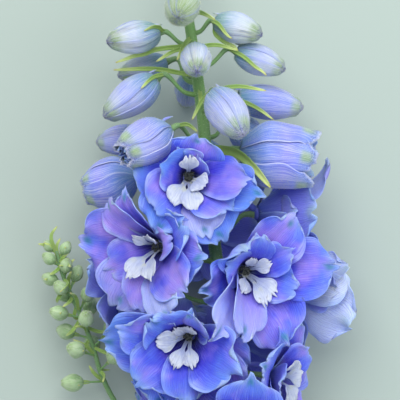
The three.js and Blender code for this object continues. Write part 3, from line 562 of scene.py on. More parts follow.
# Where everything sits. A bract is the height of its root on the stem, then points to its tip.
stemLine = [
    (-12, 130, -8, 0.7), (-9, 106, -5, 1.5), (-5.9, 84, -3, 2.0), (-2.1, 59, -1, 2.4), (1.3, 34, 0, 2.5),
    (4.2, 0, 0, 2.6), (7, -25, 0, 2.7), (11.8, -55, -1, 2.8), (16.8, -84, -3, 3.0), (22, -120, -8, 3.1),
    (27, -170, -21, 3.2), (29, -215, -34.7, 3.3),
]  # x, y, z and the radius there


def rowsOf(labels, rows):  # a row is the labelled values, and may end with a dictionary of its own
    return [{**dict(zip(labels, row)), **dict(*row[len(labels):])} for row in rows]


budLabels = ("name", "node", "base", "tip", "girth", "ripe")

closedBuds = rowsOf(budLabels, [
    ("bud_top", 76, (-5.8, 82.3, 12), (-8.7, 72.1, 34), 14, -0.6,
     {"bracts": [(68.4, (-9.4, 57.5, 14)), (78.5, (6.2, 74.3, 12))]}),
    ("bud_top_left", 65, (-17.6, 70.1, 0), (-38.7, 65.7, 6), 14, 0.15, {"bracts": [(65, (-35.3, 57.5, 2))],
     "bracteoles": [(-23.5, 69.7, 8)]}),
    ("bud_top_right", 70, (6.7, 74.8, 0), (25.8, 68.7, 5), 13.5, 0.1,
     {"bracteoles": [(13.4, 67.2, 7), (16, 62.2, 1)]}),
    ("bud_centre", 57, (-2.1, 62.2, 8), (-1.2, 51.4, 26), 12.6, 0.2,
     {"bracteoles": [(-18.1, 57.4, 8), (15.7, 61.9, 9)]}),
    ("bud_right", 56, (15.6, 62.5, -3), (35.7, 54.6, 0), 12.6, 0.4, {"bracteoles": [(27.7, 52, 4)]}),
    ("bud_left_back", 49, (-14.6, 59.4, -15), (-35.1, 53.1, -12), 12, 0.35,
     {"bracts": [(52, (-36.5, 55, -4))]}),
    ("bud_left", 44, (-18.4, 50.1, 3), (-39.9, 34.5, 6), 15, 0.6, {"bracteoles": [(-24.4, 45.8, 11)]}),
    ("bud_centre_right", 37, (6.2, 43.1, 14), (17, 25.8, 34), 16, 0.6, {"bracts": [(46, (0, 39.2, 8))],
     "bracteoles": [(-3.3, 32.9, 14), (27, 44.7, 16)]}),
    ("bud_right_low", 34, (16.2, 43.4, -8), (44.1, 39.4, -12), 15, 0.9, {"bracteoles": [(31, 33.8, -2)]}),
    ("bud_left_low", 16, (-25, 27, -19), (-45, 25, -22), 14, 0.9),
    ("bud_back_high", 48, (-4, 53, -18), (-6.5, 43, -37), 12.5, 0.5),
    ("bud_back_right", 26, (15, 33, -15), (29, 21, -25), 15, 0.8),
])

openingBuds = rowsOf((*budLabels, "mouth"), [
    ("bud_opening_left", 24, (-12.3, 28.7, 14), (-31.5, 18.1, 24), 18, 0.95, 0.5, {"turn": 8,
     "bracts": [(25, (-17, 23, 14))], "bracteoles": [(-1, 28, 15)]}),
    ("bud_opening_right", 12, (16.7, 20.8, 5), (47.9, 16.7, 5), 26, 1.2, 0.8, {"turn": 186,
     "bracts": [(22, (18.2, 17.8, 12), (28.8, 5.2, 17))], "bractWidth": 3.6}),
    ("bud_opening_back_left", 2, (-26.7, 9.3, -5), (-49.1, 4.3, -10), 22, 1.15, 0.45),
    ("bud_opening_back", 22, (2, 24, -15), (1, 10, -33), 17, 0.9, 0.4),
])

# A petal is turn, length, width, opening, ending and cup, in degrees and millimetres, and then, where
# they differ from its kind's, its own hue and habit. A lifted petal's sizes are shares of the flower's.
flowers = rowsOf(("name", "node", "base", "azimuth", "elevation"), [
    ("flower_01", 2, (-5, 9, 12), 4, 5, {"hue": -0.1,
     "outer": [(-78, 22, 21, 46, 92, 24, -0.6), (14, 17, 22, 34, 66, 34, {"ruffle": 1.3}),
               (50, 16, 13, 34, 74, 40, {"curl": 60, "ruffle": 1.2}),
               (104, 30, 17, 48, 94, 28, -0.8, {"point": 0.5}), (153, 29, 21, 50, 98, 22, -0.6),
               (209, 25, 22, 48, 96, 22, -0.8), (164, 26, 18, 44, 88, 18, 1.5, {"point": -0.1})],
     "inner": [(-72, 17, 16, 20, 52, 48, 0.1, {"curl": 0}), (-26, 15, 14, 18, 50, 38, 0.6),
               (14, 12, 13, 14, 44, 38, 0.2), (95, 26, 15.5, 36, 76, 30, 0.9),
               (130, 23, 19, 38, 80, 22, 0.0), (226, 21, 21, 38, 80, 22, 0.6)],
     "bee": [(-6, 12.5, 7.5, 0, 60, 34, {"lobes": 0.16, "kind": 0.9}),
             (128, 12, 9, 2, 60, 24, {"lobes": 0.06}), (176, 17.5, 8.5, 12, 98, 20, {"lobes": 0.05}),
             (212, 16.5, 9, 12, 96, 20, {"lobes": 0.05})]}),
    ("flower_02", -26, (-14.5, -18.5, 9), -38, -8, {"hue": 0.2,
     "outer": [(-36, 31, 13.5, 30, 62, 60, 0.6, {"curl": 50}), (-12, 29, 12, 34, 66, 54, {"curl": 60}),
               (60, 22, 20, 46, 80, 26, -0.7, {"ruffle": 1.5}), (98, 25, 20, 50, 96, 22, -0.4),
               (157, 34, 15, 38, 80, 22, 1.8), (214, 31, 25, 40, 82, 24, 0.8),
               (280, 33, 26, 38, 76, 26, 0.5)],
     "inner": [(68, 15, 12, 26, 62, 50, 0.7, {"curl": 70}), (128, 28, 19, 42, 80, 26, 0.7),
               (186, 27, 17, 38, 78, 24, 0.7), (246, 23, 17, 36, 70, 26, 0.4)],
     "bee": [(-44, 12, 4.5, 0, 70, 36), (14, 9.5, 6.5, 0, 56, 30),
             (154, 18.5, 8, 6, 74, 30, {"lobes": 0.07}), (210, 19, 8, 6, 68, 30, {"lobes": 0.07})]}),
    ("flower_03", -41, (15.8, -28.8, 5), 29, -5, {"hue": -0.15,
     "outer": [(-38, 25, 20, 30, 60, 50, -0.4, {"curl": -60}), (36, 31, 20, 36, 78, 36, 0.8),
               (85, 39, 22, 44, 78, 30, 0.5, {"curl": 40}),
               (154, 36, 26, 38, 78, 24, 1.0, {"ruffle": 1.6}), (204, 34, 18, 26, 60, 70, 1.7),
               (224, 39, 17, 34, 70, 55, 1.7, {"ruffle": 1.5}),
               (254, 24, 17, 44, 84, 32, 0.1, {"ruffle": 1.5})],
     "inner": [(-5, 22, 14, 20, 56, 46, 0.4, {"curl": 40}), (54, 23, 12, 26, 54, 34, 0.5),
               (108, 23, 16, 32, 62, 28, 0.4), (285, 18, 15, 22, 52, 50, 0.3, {"curl": 50})],
     "bee": [(8, 9, 5.5, 0, 62, 34), (62, 13, 6, 0, 74, 40), (134, 18, 7.5, 6, 80, 30, {"lobes": 0.14}),
             (164, 20, 7, 6, 78, 34, {"lobes": 0.18}), (212, 13, 7, 4, 80, 30)]}),
    ("flower_04", -66, (-3.5, -54.3, 12), -12, -15, {"hue": -0.75,
     "outer": [(-90, 35, 23, 46, 90, 24, -0.8),
               (-42, 24, 21, 20, 48, 34, 0.1, {"curl": 60, "ruffle": 1.8}),
               (16, 21, 16, 16, 44, 34, 0.8, {"curl": 60, "ruffle": 1.8}), (120, 26, 21, 52, 98, 24, 0.9),
               (148, 32, 25, 50, 96, 22, 0.9), (206, 32, 25, 48, 92, 22, -0.1)],
     "inner": [(-72, 31, 18, 34, 70, 28, 0.4), (60, 10, 9, 30, 66, 34, 0.0),
               (112, 28, 24, 34, 68, 34, 0.2, {"point": 0.7}), (176, 27, 18, 36, 74, 24, 0.2),
               (230, 29, 21, 36, 74, 24, 0.2)],
     "bee": [(-84, 16, 9, 4, 84, 22), (-36, 10, 6.5, 0, 70, 26), (12, 10, 7, 0, 66, 26),
             (162, 15, 6.5, 4, 82, 38, {"lobes": 0.16}), (204, 16, 6.5, 4, 84, 38, {"lobes": 0.16})]}),
    ("flower_05", -46, (36, -38, -9.8), 115, -5, {"size": 27, "hue": 0.3,
     "lifted": {4: (-122, 1.1, 0.98, 30, 56, {"hue": 1.0, "ruffle": 1.1, "margin": 0.015}),
                3: (-58, 0.98, 0.88, 30, 56, {"hue": 1.1, "margin": 0.02})}}),
    ("flower_06", -14, (23, -6, -9), 100, 4, {"size": 24, "hue": 0.0,
     "lifted": {4: (-88, 1.2, 1.0, 30, 56, {"hue": -0.4, "ruffle": 1.4}),
                0: (-24, 1.64, 0.72, 12, 36, {"hue": 1.2, "ruffle": 1.2, "curl": 55})}}),
    ("flower_07", -44, (-27, -34, -12.9), -112, 0, {"size": 25}),
    ("flower_08", -72, (27, -73, 5), 64, -4, {"size": 24.5}),
    ("flower_09", -20, (1, -13, -17), 178, 4, {"size": 25}),
    ("flower_10", -56, (14, -59, -16), 150, -6, {"size": 25}),
    ("flower_11", -76, (-7, -66, -14.5), -146, -2, {"size": 26}),
    ("flower_12", -98, (18, -94, 15), 6, -20, {"size": 28}),
    ("flower_13", -94, (-6, -94, 0), -64, -12, {"size": 27}),
])

organs = [*closedBuds, *openingBuds, *flowers]
stemPath = curveThrough(stemLine, 260)


def stemAt(y):
    order = stemPath[::-1]
    return np.array([np.interp(y, order[:, 1], order[:, c]) for c in range(3)])


def directionOf(organ):
    if "tip" in organ:
        return unit(np.array(organ["tip"], float) - organ["base"])
    a, e = math.radians(organ["azimuth"]), math.radians(organ["elevation"])
    return np.array([math.sin(a) * math.cos(e), math.sin(e), math.cos(a) * math.cos(e)])


stalkSizes = {"radius": 1.05, "foot": 1.25, "waist": 0.45, "sides": 12, "steps": 26}
bractSizes = {"width": 1.85, "small": 1.55, "thickness": 0.5, "hook": 1.6, "grid": (16, 7), "clear": 0.7}


def stalkLine(organ):  # the points of an organ's stalk and its radius at each
    start, end = stemAt(organ["node"]), np.array(organ["base"], float)
    reach = np.linalg.norm(end - start)
    out = end - start
    out[1] = 0
    second = start + unit(out) * reach * 0.34
    second[1] = start[1] + (end[1] - start[1]) * 0.2
    path = curveThrough([start, second, end - directionOf(organ) * reach * 0.22, end], stalkSizes["steps"])
    s = np.linspace(0, 1, len(path))
    radii = stalkSizes["radius"] * (stalkSizes["foot"] - stalkSizes["waist"]
                                    * np.sin(np.pi * np.minimum(s * 1.1, 1)))
    return path, radii * (1 + 0.35 * smooth(0.93, 1, s) + 0.5 * smooth(0.12, 0, s))


def strap(points, width, seed, facingWay):  # a narrow channelled bract
    rows, columns = bractSizes["grid"]
    path = curveThrough(points, rows)
    normals, sides = framesAlong(path, facingWay)
    s, t = np.linspace(0, 1, rows)[:, None], np.linspace(-1, 1, columns)[None, :]
    half = width / 2 * (0.7 + 0.35 * np.sin(np.pi * s ** 0.7)) * np.sqrt(1 - 0.9 * s ** 7)
    lift = 0.55 * half * t * t
    grid = path[:, None] + sides[:, None] * (half * t)[..., None] + normals[:, None] * lift[..., None]
    return sheet(grid, bractSizes["thickness"], (s, t, seed), (0, 1, 0))


def closedShape(s):  # a closed bud's radius as a share of the widest
    body = np.sin(np.pi * np.minimum(0.1 + 0.86 * s ** 0.85, 0.96)) ** 0.7
    return np.maximum(body, 0.2) * (1 - 0.72 * smooth(0.92, 1.0, s))


def aroundBud(points, organ):  # the same line, led round the outside of its bud
    if "girth" not in organ:
        return points
    base, direction = np.array(organ["base"], float), directionOf(organ)
    length = np.linalg.norm(np.array(organ["tip"], float) - base)
    led = []
    for point in curveThrough(points, 9):
        along = np.clip((point - base).dot(direction), -1, length)
        middle = base + direction * along
        clear = organ["girth"] / 2 * closedShape(np.clip(along / length, 0.02, 0.98)) + bractSizes["clear"]
        away = point - middle
        far = np.linalg.norm(away)
        led.append(middle + away / far * max(far, clear) if 0 <= along < length else point)
    return led


def bractParts(organ, path):
    hook, way = alongStem * bractSizes["hook"], upward + directionOf(organ) * 0.3
    parts = []
    for k, (height, *between, tip) in enumerate(organ.get("bracts", [])):
        root, tip = stemAt(height), np.array(tip, float)
        middle = between[0] if between else (root + tip) / 2 + hook + upward * 1.2
        width = organ.get("bractWidth", bractSizes["width"])
        parts.append(strap(aroundBud([root, middle, tip], organ), width, 0.3 * k, way))
    seat = path[int(len(path) * 0.78)]
    for k, tip in enumerate(organ.get("bracteoles", [])):
        tip = np.array(tip, float)
        line = aroundBud([seat, seat * 0.5 + tip * 0.5 + hook + upward * 1.5, tip], organ)
        parts.append(strap(line, bractSizes["small"], 0.2 + 0.3 * k, way))
    return parts


def smallBud(root, direction, stalk, girth, seed):  # a round bud with five ribs on a short stalk
    neck, end = root + direction * stalk, root + direction * (stalk + girth * 1.25)
    stalkPart = tube(curveThrough([root, (root + neck) / 2, neck + direction * girth * 0.12], 6),
                     [0.6, 0.5, 0.48, 0.48, 0.55, 0.7], 8, seed)
    s = np.linspace(0, 1, 13)
    swell = np.sin(np.pi * (0.06 + 0.88 * s ** 0.9)) ** 0.75
    bud = [tube(between(neck, end, s[:, None]), girth / 2 * swell, 15, seed, ribs=5, ribDepth=0.06,
                firstNormal=upward)]
    base, axes = facing(end - direction * girth * 0.1, direction)
    for k in range(5):  # the nubs at its tip
        angle = 2 * math.pi * k / 5
        spot = base + (axes[0] * math.sin(angle) + axes[1] * math.cos(angle)) * girth * 0.12
        bud.append(ball(spot, axes, (girth * 0.09, girth * 0.13), seed, (0, 0, 1.0), 5, 6))
    return stalkPart, bud


tipBuds = {"count": 10, "from": 91, "to": 129, "girth": 7.4, "endGirth": 2.6, "bract": 1.3}
cutEnd = ((0.98, 0.37), (0.72, 0.48), (0.5, 0.42))  # hoops: share of the stem's radius, own radius
stemFuzz = {"density": 0.9, "length": 0.8, "budDensity": 1.2, "budLength": 0.6}


def addFuzz(name, greens, buds, fuzz, rng):
    parts = [fuzzOn(greens, fuzz["density"], fuzz["length"], rng),
             fuzzOn(buds, fuzz["budDensity"], fuzz["budLength"], rng)]
    addPiece(name, parts, hairSkin)


def buildStem():
    greens = [tube(stemPath[:, :3], stemPath[:, 3], 20, 0.1, ribs=5, ribDepth=0.035)]
    end = stemPath[-1]
    base, axes = facing(end[:3], stemPath[-1, :3] - stemPath[-3, :3])
    rim = np.array([axes[0] * math.cos(a) + axes[1] * math.sin(a)
                    for a in np.linspace(0, 2 * math.pi, 24, endpoint=False)])
    for reach, radius in cutEnd:
        greens.append(hoop(base + rim * end[3] * reach, radius, (0, 0, 0.9 - reach * 0.5)))
    for organ in organs:
        path, radii = stalkLine(organ)
        greens.append(tube(path, radii, stalkSizes["sides"], 0.4, (0, 0.05, 0), ribs=4, ribDepth=0.04))
        greens.extend(bractParts(organ, path))
    youngBuds = []
    for k in range(tipBuds["count"]):
        along = k / (tipBuds["count"] - 1)
        root = stemAt(between(tipBuds["from"], tipBuds["to"], along))
        turn = math.radians(goldenTurn * k)
        direction = unit(np.array([math.sin(turn), 0.35 + 0.9 * along, math.cos(turn)]))
        girth = between(tipBuds["girth"], tipBuds["endGirth"], along)
        stalk, bud = smallBud(root, direction, 2 + girth * 0.45, girth, 0.37 * k)
        greens.append(stalk)
        youngBuds.extend(bud)
        tip = root + direction * (6 + girth) + alongStem * -2.5
        line = [root, root * 0.5 + tip * 0.5 - alongStem * 0.8, tip]
        greens.append(strap(line, tipBuds["bract"], 0.1 * k, direction))
    addPiece("green_stem", greens, greenSkin, ["stem"])
    addPiece("tip_buds", youngBuds, shootSkin)
    addFuzz("stem_fuzz", greens, youngBuds, stemFuzz, np.random.default_rng(7))


buildStem()
print("stem, stalks and bracts made")

outerRoot = {"radius": 3.0, "height": 1.3}
innerRoot = {"radius": 2.4, "height": 2.6}
beeRoot = {"radius": 1.9, "height": 4.2}

# Angles are in degrees and sizes in millimetres. Ruffles count round the margin from side to side.
petalHabit = {"claw": False, "spread": 1.2, "sway": 0.8, "lobes": 0.0, "point": 0.0, "thickness": 0.4}
outerHabit = {**petalHabit, "ruffle": 1.05, "ruffles": 5, "crinkle": 0.22, "pleat": 0.6, "fan": 0.13,
              "twist": 0.14, "curl": 14, "point": 0.06, "margin": 0.032, "kind": 1.0, "hue": 0.0}
innerHabit = {**petalHabit, "ruffle": 0.85, "ruffles": 4, "crinkle": 0.2, "pleat": 0.5, "fan": 0.11,
              "twist": 0.16, "curl": 10, "margin": 0.034, "kind": 0.0, "hue": 0.2}
beeHabit = {"claw": True, "spread": 1.12, "ruffle": 0.5, "ruffles": 5, "crinkle": 0.12, "pleat": 0.25,
            "fan": 0.12, "twist": 0.06, "curl": 6, "sway": 0.4, "lobes": 0.1, "point": 0.0,
            "margin": 0.022, "thickness": 0.42, "kind": 0.5, "hue": 0.0}
petalGrids = {"near": (40, 29), "far": (26, 19), "nearBee": (26, 23), "farBee": (18, 15)}
beePetals = [(-6, 12.5, 8.5, 0, 66, 30), (80, 13.5, 10, 4, 88, 20), (158, 14, 9, 4, 88, 22),
             (218, 14, 8.5, 4, 86, 22)]


def bladeGrid(rows, columns, first=0.0):  # s from the root, t across, closer together at the margins
    t = np.sin(np.linspace(-0.5, 0.5, columns) * np.pi)
    return np.linspace(first, 1, rows)[:, None], t[None, :]


def sepalBreadth(s):
    widest = 0.62
    below = 0.3 + 0.7 * np.sin(np.pi / 2 * np.minimum(s / widest, 1))
    above = np.sqrt(np.clip(1 - (0.92 * (s - widest) / (1 - widest)) ** 2, 0, 1))
    return np.where(s < widest, below, above)


def clawBreadth(s):  # narrow at the root and broad from the middle on
    swell = 0.2 + 0.8 * np.sin(np.pi / 2 * np.clip((s - 0.38) / 0.34, 0, 1)) ** 1.3
    return np.where(s > 0.72, np.sqrt(np.clip(1 - (0.86 * (s - 0.72) / 0.28) ** 2, 0, 1)), swell)


def petalPart(petal, root, habit, grid, rng):
    turn, length, width, opening, ending, cup, *own = petal
    for value in own:  # a number is the hue
        habit = {**habit, **(value if isinstance(value, dict) else {"hue": value})}
    phase = rng.uniform(0, 2 * np.pi, 8)
    mood = rng.uniform(-1, 1, 5)
    s, t = bladeGrid(*grid)

    station = np.linspace(0, 1.1, 111)  # the midline, bent from its opening angle to its ending one
    curl = habit["curl"] * (1 + 0.7 * mood[0])
    angle = np.radians(opening + (ending - opening) * station + curl * smooth(0.6, 1.05, station))
    radial = root["radius"] + np.cumsum(np.sin(angle)) * length / 100
    rising = root["height"] + np.cumsum(np.cos(angle)) * length / 100

    around = np.arctan2(0.8 * t, s - 0.42)  # 0 at the tip, growing along either margin
    scallop = np.sin(5 * around + phase[0]) + 0.6 * np.sin(9 * around + phase[1])
    scallop = scallop + 0.3 * np.sin(17 * around + phase[2])
    notch = 1.4 - np.abs(np.sin(1.5 * np.pi * t + 0.5 * phase[3])) + 0.4 * np.cos(3 * np.pi * t + phase[3])
    lobes = habit["lobes"] * notch * 0.55 * smooth(0.55, 1, s)
    tip = habit["point"] * (0.16 * np.exp(-(t / 0.22) ** 2) - 0.1 * t * t) * s ** 5
    blunt = 0.13 * t * t * s ** 4
    reach = np.clip(s * (1 - blunt + habit["margin"] * scallop * s ** 3 - lobes + tip), 0, 1.1)
    breadth = clawBreadth(s) if habit["claw"] else sepalBreadth(s)
    half = width / 2 * habit["spread"] * breadth * (1 + habit["margin"] * scallop * s)

    fold = math.radians(cup) * (1.25 - 0.95 * s)  # the cup, and the relief that stands on it
    rise = half * (1 - np.cos(fold * t)) / fold + habit["twist"] * half * t * smooth(0, 0.5, s)
    nearEdge = 1 - (1 - np.abs(t) ** 3 * smooth(0.15, 0.6, s)) * (1 - smooth(0.76, 1, s))
    ruffle = 0.6 * np.sin(habit["ruffles"] * around + phase[4])
    ruffle = ruffle + 0.4 * np.sin((habit["ruffles"] + 4) * around + phase[5])
    scale = width / 20
    rise = rise + scale * nearEdge * habit["ruffle"] * (1 + 0.4 * mood[1]) * ruffle * 1.6
    rise = rise + scale * habit["pleat"] * np.sin(2.3 * np.pi * t + phase[6]) * s ** 1.5
    rise = rise + habit["crinkle"] * nearEdge ** 2 * np.sin(21 * around + phase[7])
    rise = rise + habit["fan"] * np.sin(5.2 * np.pi * t + phase[7]) * smooth(0.15, 0.8, s)
    rise = rise - 0.3 * np.exp(-(t / 0.14) ** 2) * smooth(0.05, 0.3, s) * (1 - 0.6 * s)
    across = half * np.sin(fold * t) / fold + habit["sway"] * mood[2] * s * s

    lean = np.interp(reach, station, angle)
    out = wayAt(turn)
    side = np.array([out[1], -out[0], 0.0])
    flat = np.interp(reach, station, radial) - rise * np.cos(lean)
    high = np.interp(reach, station, rising) + rise * np.sin(lean)
    points = out * flat[..., None] + side * across[..., None] + upward * high[..., None]
    return sheet(points, habit["thickness"], (s, t, (mood[3] + 1) / 2),
                 (0, habit["kind"], habit["hue"] + 0.3 * mood[4]))


def evenWhorls(flower):
    size, seed = flower["size"], math.radians(flower["azimuth"])
    outer = [(72 * k + 9 * math.sin(seed + 2.1 * k), size * (1 + 0.06 * math.sin(3 * seed + k)), size * 0.8,
              48, 94 + 5 * math.sin(seed * k), 24) for k in range(5)]
    for k, (turn, length, width, opening, ending, own) in flower.get("lifted", {}).items():
        outer[k] = (turn, size * length, size * width, opening, ending, 30, own)  # it stands half closed
    inner = [(36 + 120 * k + 10 * math.cos(seed + k), size * 0.76, size * 0.56, 34, 66, 26)
             for k in range(3)]
    return outer, inner


spurSizes = {"length": 12, "radius": 1.7, "endRadius": 0.7, "steps": 14}


def spurPart(y, z, size, seed, tone):
    length, steps = spurSizes["length"] * size, spurSizes["steps"]
    path = curveThrough([(0, y, z), (0, y + 2.6 * size, z - 0.32 * length),
                         (0, y + 1.8 * size, z - length)], steps)
    s = np.linspace(0, 1, steps)
    radii = between(spurSizes["radius"], spurSizes["endRadius"], s) * size
    return tube(path, radii * np.where(s > 0.9, 0.75, 1), 12, seed, tone, ribs=3, ribDepth=0.04)


stamenTuft = {"count": 26, "foot": 2.6, "reach": 2.1, "tall": 3.2, "spare": 1.6, "anther": (0.42, 0.62)}
receptacle = ((-0.1, 1.5), (0.3, 2.3), (1.2, 2.9), (2.2, 2.6), (3.0, 1.8), (3.5, 0.6))  # height, radius
pistil = ((1.0, 2.2), (2.0, 2.3), (3.0, 1.7), (3.8, 0.6))


def knobPart(profile, sides, tone):  # a round knob on the flower's own axis
    heights, radii = np.array(profile).T
    return tube(upward * heights[:, None], radii, sides, 0.0, tone)


def stamenParts(rng):
    parts = []
    foot = upward * stamenTuft["foot"]
    for k in range(stamenTuft["count"]):
        spread = math.sqrt((k + 0.5) / stamenTuft["count"])
        out = wayAt(goldenTurn * k)
        tall = stamenTuft["tall"] - spread + rng.uniform(0, stamenTuft["spare"])
        top = out * stamenTuft["reach"] * spread + foot + upward * tall
        top[1] += 0.5
        path = curveThrough([out * spread + foot, out * 1.4 * spread + foot + upward * 1.6, top], 6)
        parts.append(tube(path, np.linspace(0.2, 0.12, 6), 6))
        _, axes = facing(top, unit(out * 0.8 + upward))
        parts.append(ball(top, axes, stamenTuft["anther"], rng.uniform(0, 1), (0, 1, 0), 6, 8))
    return [*parts, knobPart(pistil, 16, (0, 0.75, 0))]


def buildFlower(flower, number):
    rng = np.random.default_rng(100 + number)
    place = facing(flower["base"], directionOf(flower))
    near = "outer" in flower
    outer, inner = (flower["outer"], flower["inner"]) if near else evenWhorls(flower)
    grid, beeGrid = (petalGrids[key] for key in (("near", "nearBee") if near else ("far", "farBee")))
    parts = [petalPart(p, outerRoot, outerHabit, grid, rng) for p in outer]
    parts += [petalPart(p, innerRoot, innerHabit, grid, rng) for p in inner]
    for part in parts:
        part["tone"][:, 2] = np.clip(part["tone"][:, 2] + flower.get("hue", 0), -1, 2)
    parts += [spurPart(1.2, 1.4, 1.0, 0.2, (0, 0, 0)), knobPart(receptacle, 18, (0, 0, 0))]
    name = flower["name"]
    addPiece(name + "_corolla", [moved(p, place) for p in parts], petalSkin, [name + "_petals"])
    bee = [petalPart(p, beeRoot, beeHabit, beeGrid, rng) for p in flower.get("bee", beePetals)]
    addPiece(name + "_white_bee", [moved(p, place) for p in bee], beeSkin, [name + "_bee"])
    addPiece(name + "_stamens", [moved(p, place) for p in stamenParts(rng)], stamenSkin)


for number, flower in enumerate(flowers):
    buildFlower(flower, number)
print("flowers made")

budHabit = {"grid": (30, 15), "insideGrid": (24, 23), "thickness": 0.4, "lap": 0.45, "nub": 0.55,
            "spiral": 16, "inset": 0.55, "fuzz": 0.8, "topFuzz": 1.5, "hair": 0.85}
overEdges = [(1, 1), (0, 0), (1, 1), (0, 0), (1, 0)]  # whether a sepal's right and left edge lie on top


def openingShape(s, mouth):
    stations = [0, 0.12, 0.34, 0.62, 0.86, 1]
    shares = [0.24, 0.6, 0.97, 0.95, 0.5 + mouth * 0.5, mouth]
    fine = curveThrough(list(zip(stations, shares, [0] * 6)), 60)
    return np.interp(s, fine[:, 0], fine[:, 1])


def roundBlade(angle, radius, height, space, tone):  # a blade bent round the bud's own axis
    grid = stacked(np.sin(angle) * radius, np.cos(angle) * radius, height)
    return sheet(grid, budHabit["thickness"], space, tone)


def sepalPart(bud, length, first, right, left, rng):
    mouth = bud.get("mouth", 0)
    s, t = bladeGrid(*budHabit["grid"])
    phase = rng.uniform(0, 2 * np.pi, 6)
    shape = openingShape(s, mouth) if mouth else closedShape(s)
    wide = 46 + 5 * (right + left) - mouth * (5 + 12 * smooth(0.6, 1.0, s))
    wide = wide * (1 + 0.03 * np.sin(9 * s + phase[0]))
    angle = np.radians(first + wide * t + budHabit["spiral"] * np.sin(np.pi * s * 0.8))
    lap = budHabit["lap"] * (right * (1 + t) / 2 + left * (1 - t) / 2) * (1 + 2.8 * mouth)
    lap = lap + mouth * (1.2 * rng.uniform(-1, 1) + 0.6 * np.sin(3 * t + phase[1])) * s ** 2
    nub = budHabit["nub"] * np.exp(-((s - 0.9) / 0.05) ** 2) * np.exp(-(t / 0.34) ** 2)
    keel = 0.16 * np.exp(-(t / 0.2) ** 2) * np.sin(np.pi * s)
    ripple = 0.13 * np.sin(8 * t + 4 * s + phase[2]) + 0.08 * np.sin(15 * t - 5 * s + phase[0])
    ripple = ripple * np.sin(np.pi * s)
    ripple = ripple + mouth * 0.32 * np.sin(4.4 * t + 1.5 * s + phase[4]) * smooth(0.25, 0.8, s)
    crumple = 0.28 * np.sin(11 * t + phase[3]) * smooth(0.9, 1.0, s) * (1 + 2 * mouth)
    crumple = crumple + mouth * 1.1 * smooth(0.9, 1.0, s) * (0.6 + np.sin(3.3 * t + phase[5]))
    radius = (bud["girth"] / 2 - budHabit["inset"]) * shape
    radius = radius + lap * np.sin(np.pi * np.clip(s * 0.9 + 0.1, 0, 1)) ** 0.5
    radius = np.maximum(radius + nub + keel + ripple + crumple, 0.3)
    radius = radius - 0.2 * np.abs(t) ** 6 * (2 - right - left) / 2
    height = length * s * (1 - mouth * 0.2 * t * t * s ** 2) + crumple * 0.8
    return roundBlade(angle, radius, height, (s, t, rng.uniform(0, 1)), (0, bud["ripe"], 0))


def foldedInside(bud, length, first, rng):  # crumpled petals that show in an opening bud's mouth
    s, t = bladeGrid(*budHabit["insideGrid"], 0.3)
    phase = rng.uniform(0, 2 * np.pi, 4)
    shape = openingShape(s, bud["mouth"]) * (0.78 - 0.1 * s)
    radius = bud["girth"] / 2 * shape + 0.9 * np.sin(9 * t + phase[0]) * s ** 3
    radius = np.maximum(radius + 0.4 * np.sin(21 * t + phase[1]) * smooth(0.75, 1, s), 0.4)
    height = length * s * (0.97 + 0.04 * np.sin(5 * t + phase[2]) * s - 0.06 * t * t)
    space = (s, t, rng.uniform(0, 1))
    return roundBlade(np.radians(first + 44 * t), radius, height, space, (0, 0, rng.uniform(-0.6, 0.6)))


def buildBud(bud, number):
    rng = np.random.default_rng(300 + number)
    base, tip, girth = np.array(bud["base"], float), np.array(bud["tip"], float), bud["girth"]
    length, place, mouth = np.linalg.norm(tip - base), facing(base, tip - base), "mouth" in bud
    first = bud.get("turn", rng.uniform(0, 360))
    sepals = [moved(sepalPart(bud, length, first + 72 * k, right, left, rng), place)
              for k, (right, left) in enumerate(overEdges)]
    y, z = (0.2, 0.14) if mouth else (0.18, 0.16)  # where the spur starts, in girths
    spur = moved(spurPart(girth * y, girth * z, girth / 36, 0.3, (0, bud["ripe"], 0)), place)
    addPiece(bud["name"] + "_sepals", [*sepals, spur], budSkin, [bud["name"]])
    if mouth:
        inside = [moved(foldedInside(bud, length, first + 36 + 72 * k, rng), place) for k in range(5)]
        addPiece(bud["name"] + "_inside", inside, petalSkin)
    amount = budHabit["fuzz" if number else "topFuzz"]
    return fuzzOn(sepals, amount * (1 - 0.4 * bud["ripe"]), budHabit["hair"], rng)


budFuzz = [buildBud(bud, number) for number, bud in enumerate([*closedBuds, *openingBuds])]
addPiece("bud_fuzz", budFuzz, hairSkin)
print("buds made")

sideShoot = {
    "line": [(23, -132, -11), (4, -124, -24), (-18, -110, -31), (-34, -94, -30), (-42.5, -78, -25),
             (-47, -62, -20), (-53, -47, -18), (-59, -33, -17), (-62, -22, -17)],
    "steps": 110, "radius": 1.5, "endRadius": 0.8, "buds": 19, "from": 0.6, "girth": 7.8, "endGirth": 5.0,
    "stalk": 9, "endStalk": 2.4, "bract": 15, "bractWidth": 1.4,
}
shootFuzz = {"density": 0.7, "length": 0.7, "budDensity": 1.0, "budLength": 0.6}


def shootBract(root, ahead, aside, length, seed):  # a narrow bract that bends away from its root
    tip = root + ahead * length * 0.75 + aside * length * 0.5
    middle = root + ahead * length * 0.5 + aside * length * 0.1
    return strap([root, middle, tip], sideShoot["bractWidth"], seed, upward + ahead * 0.2)


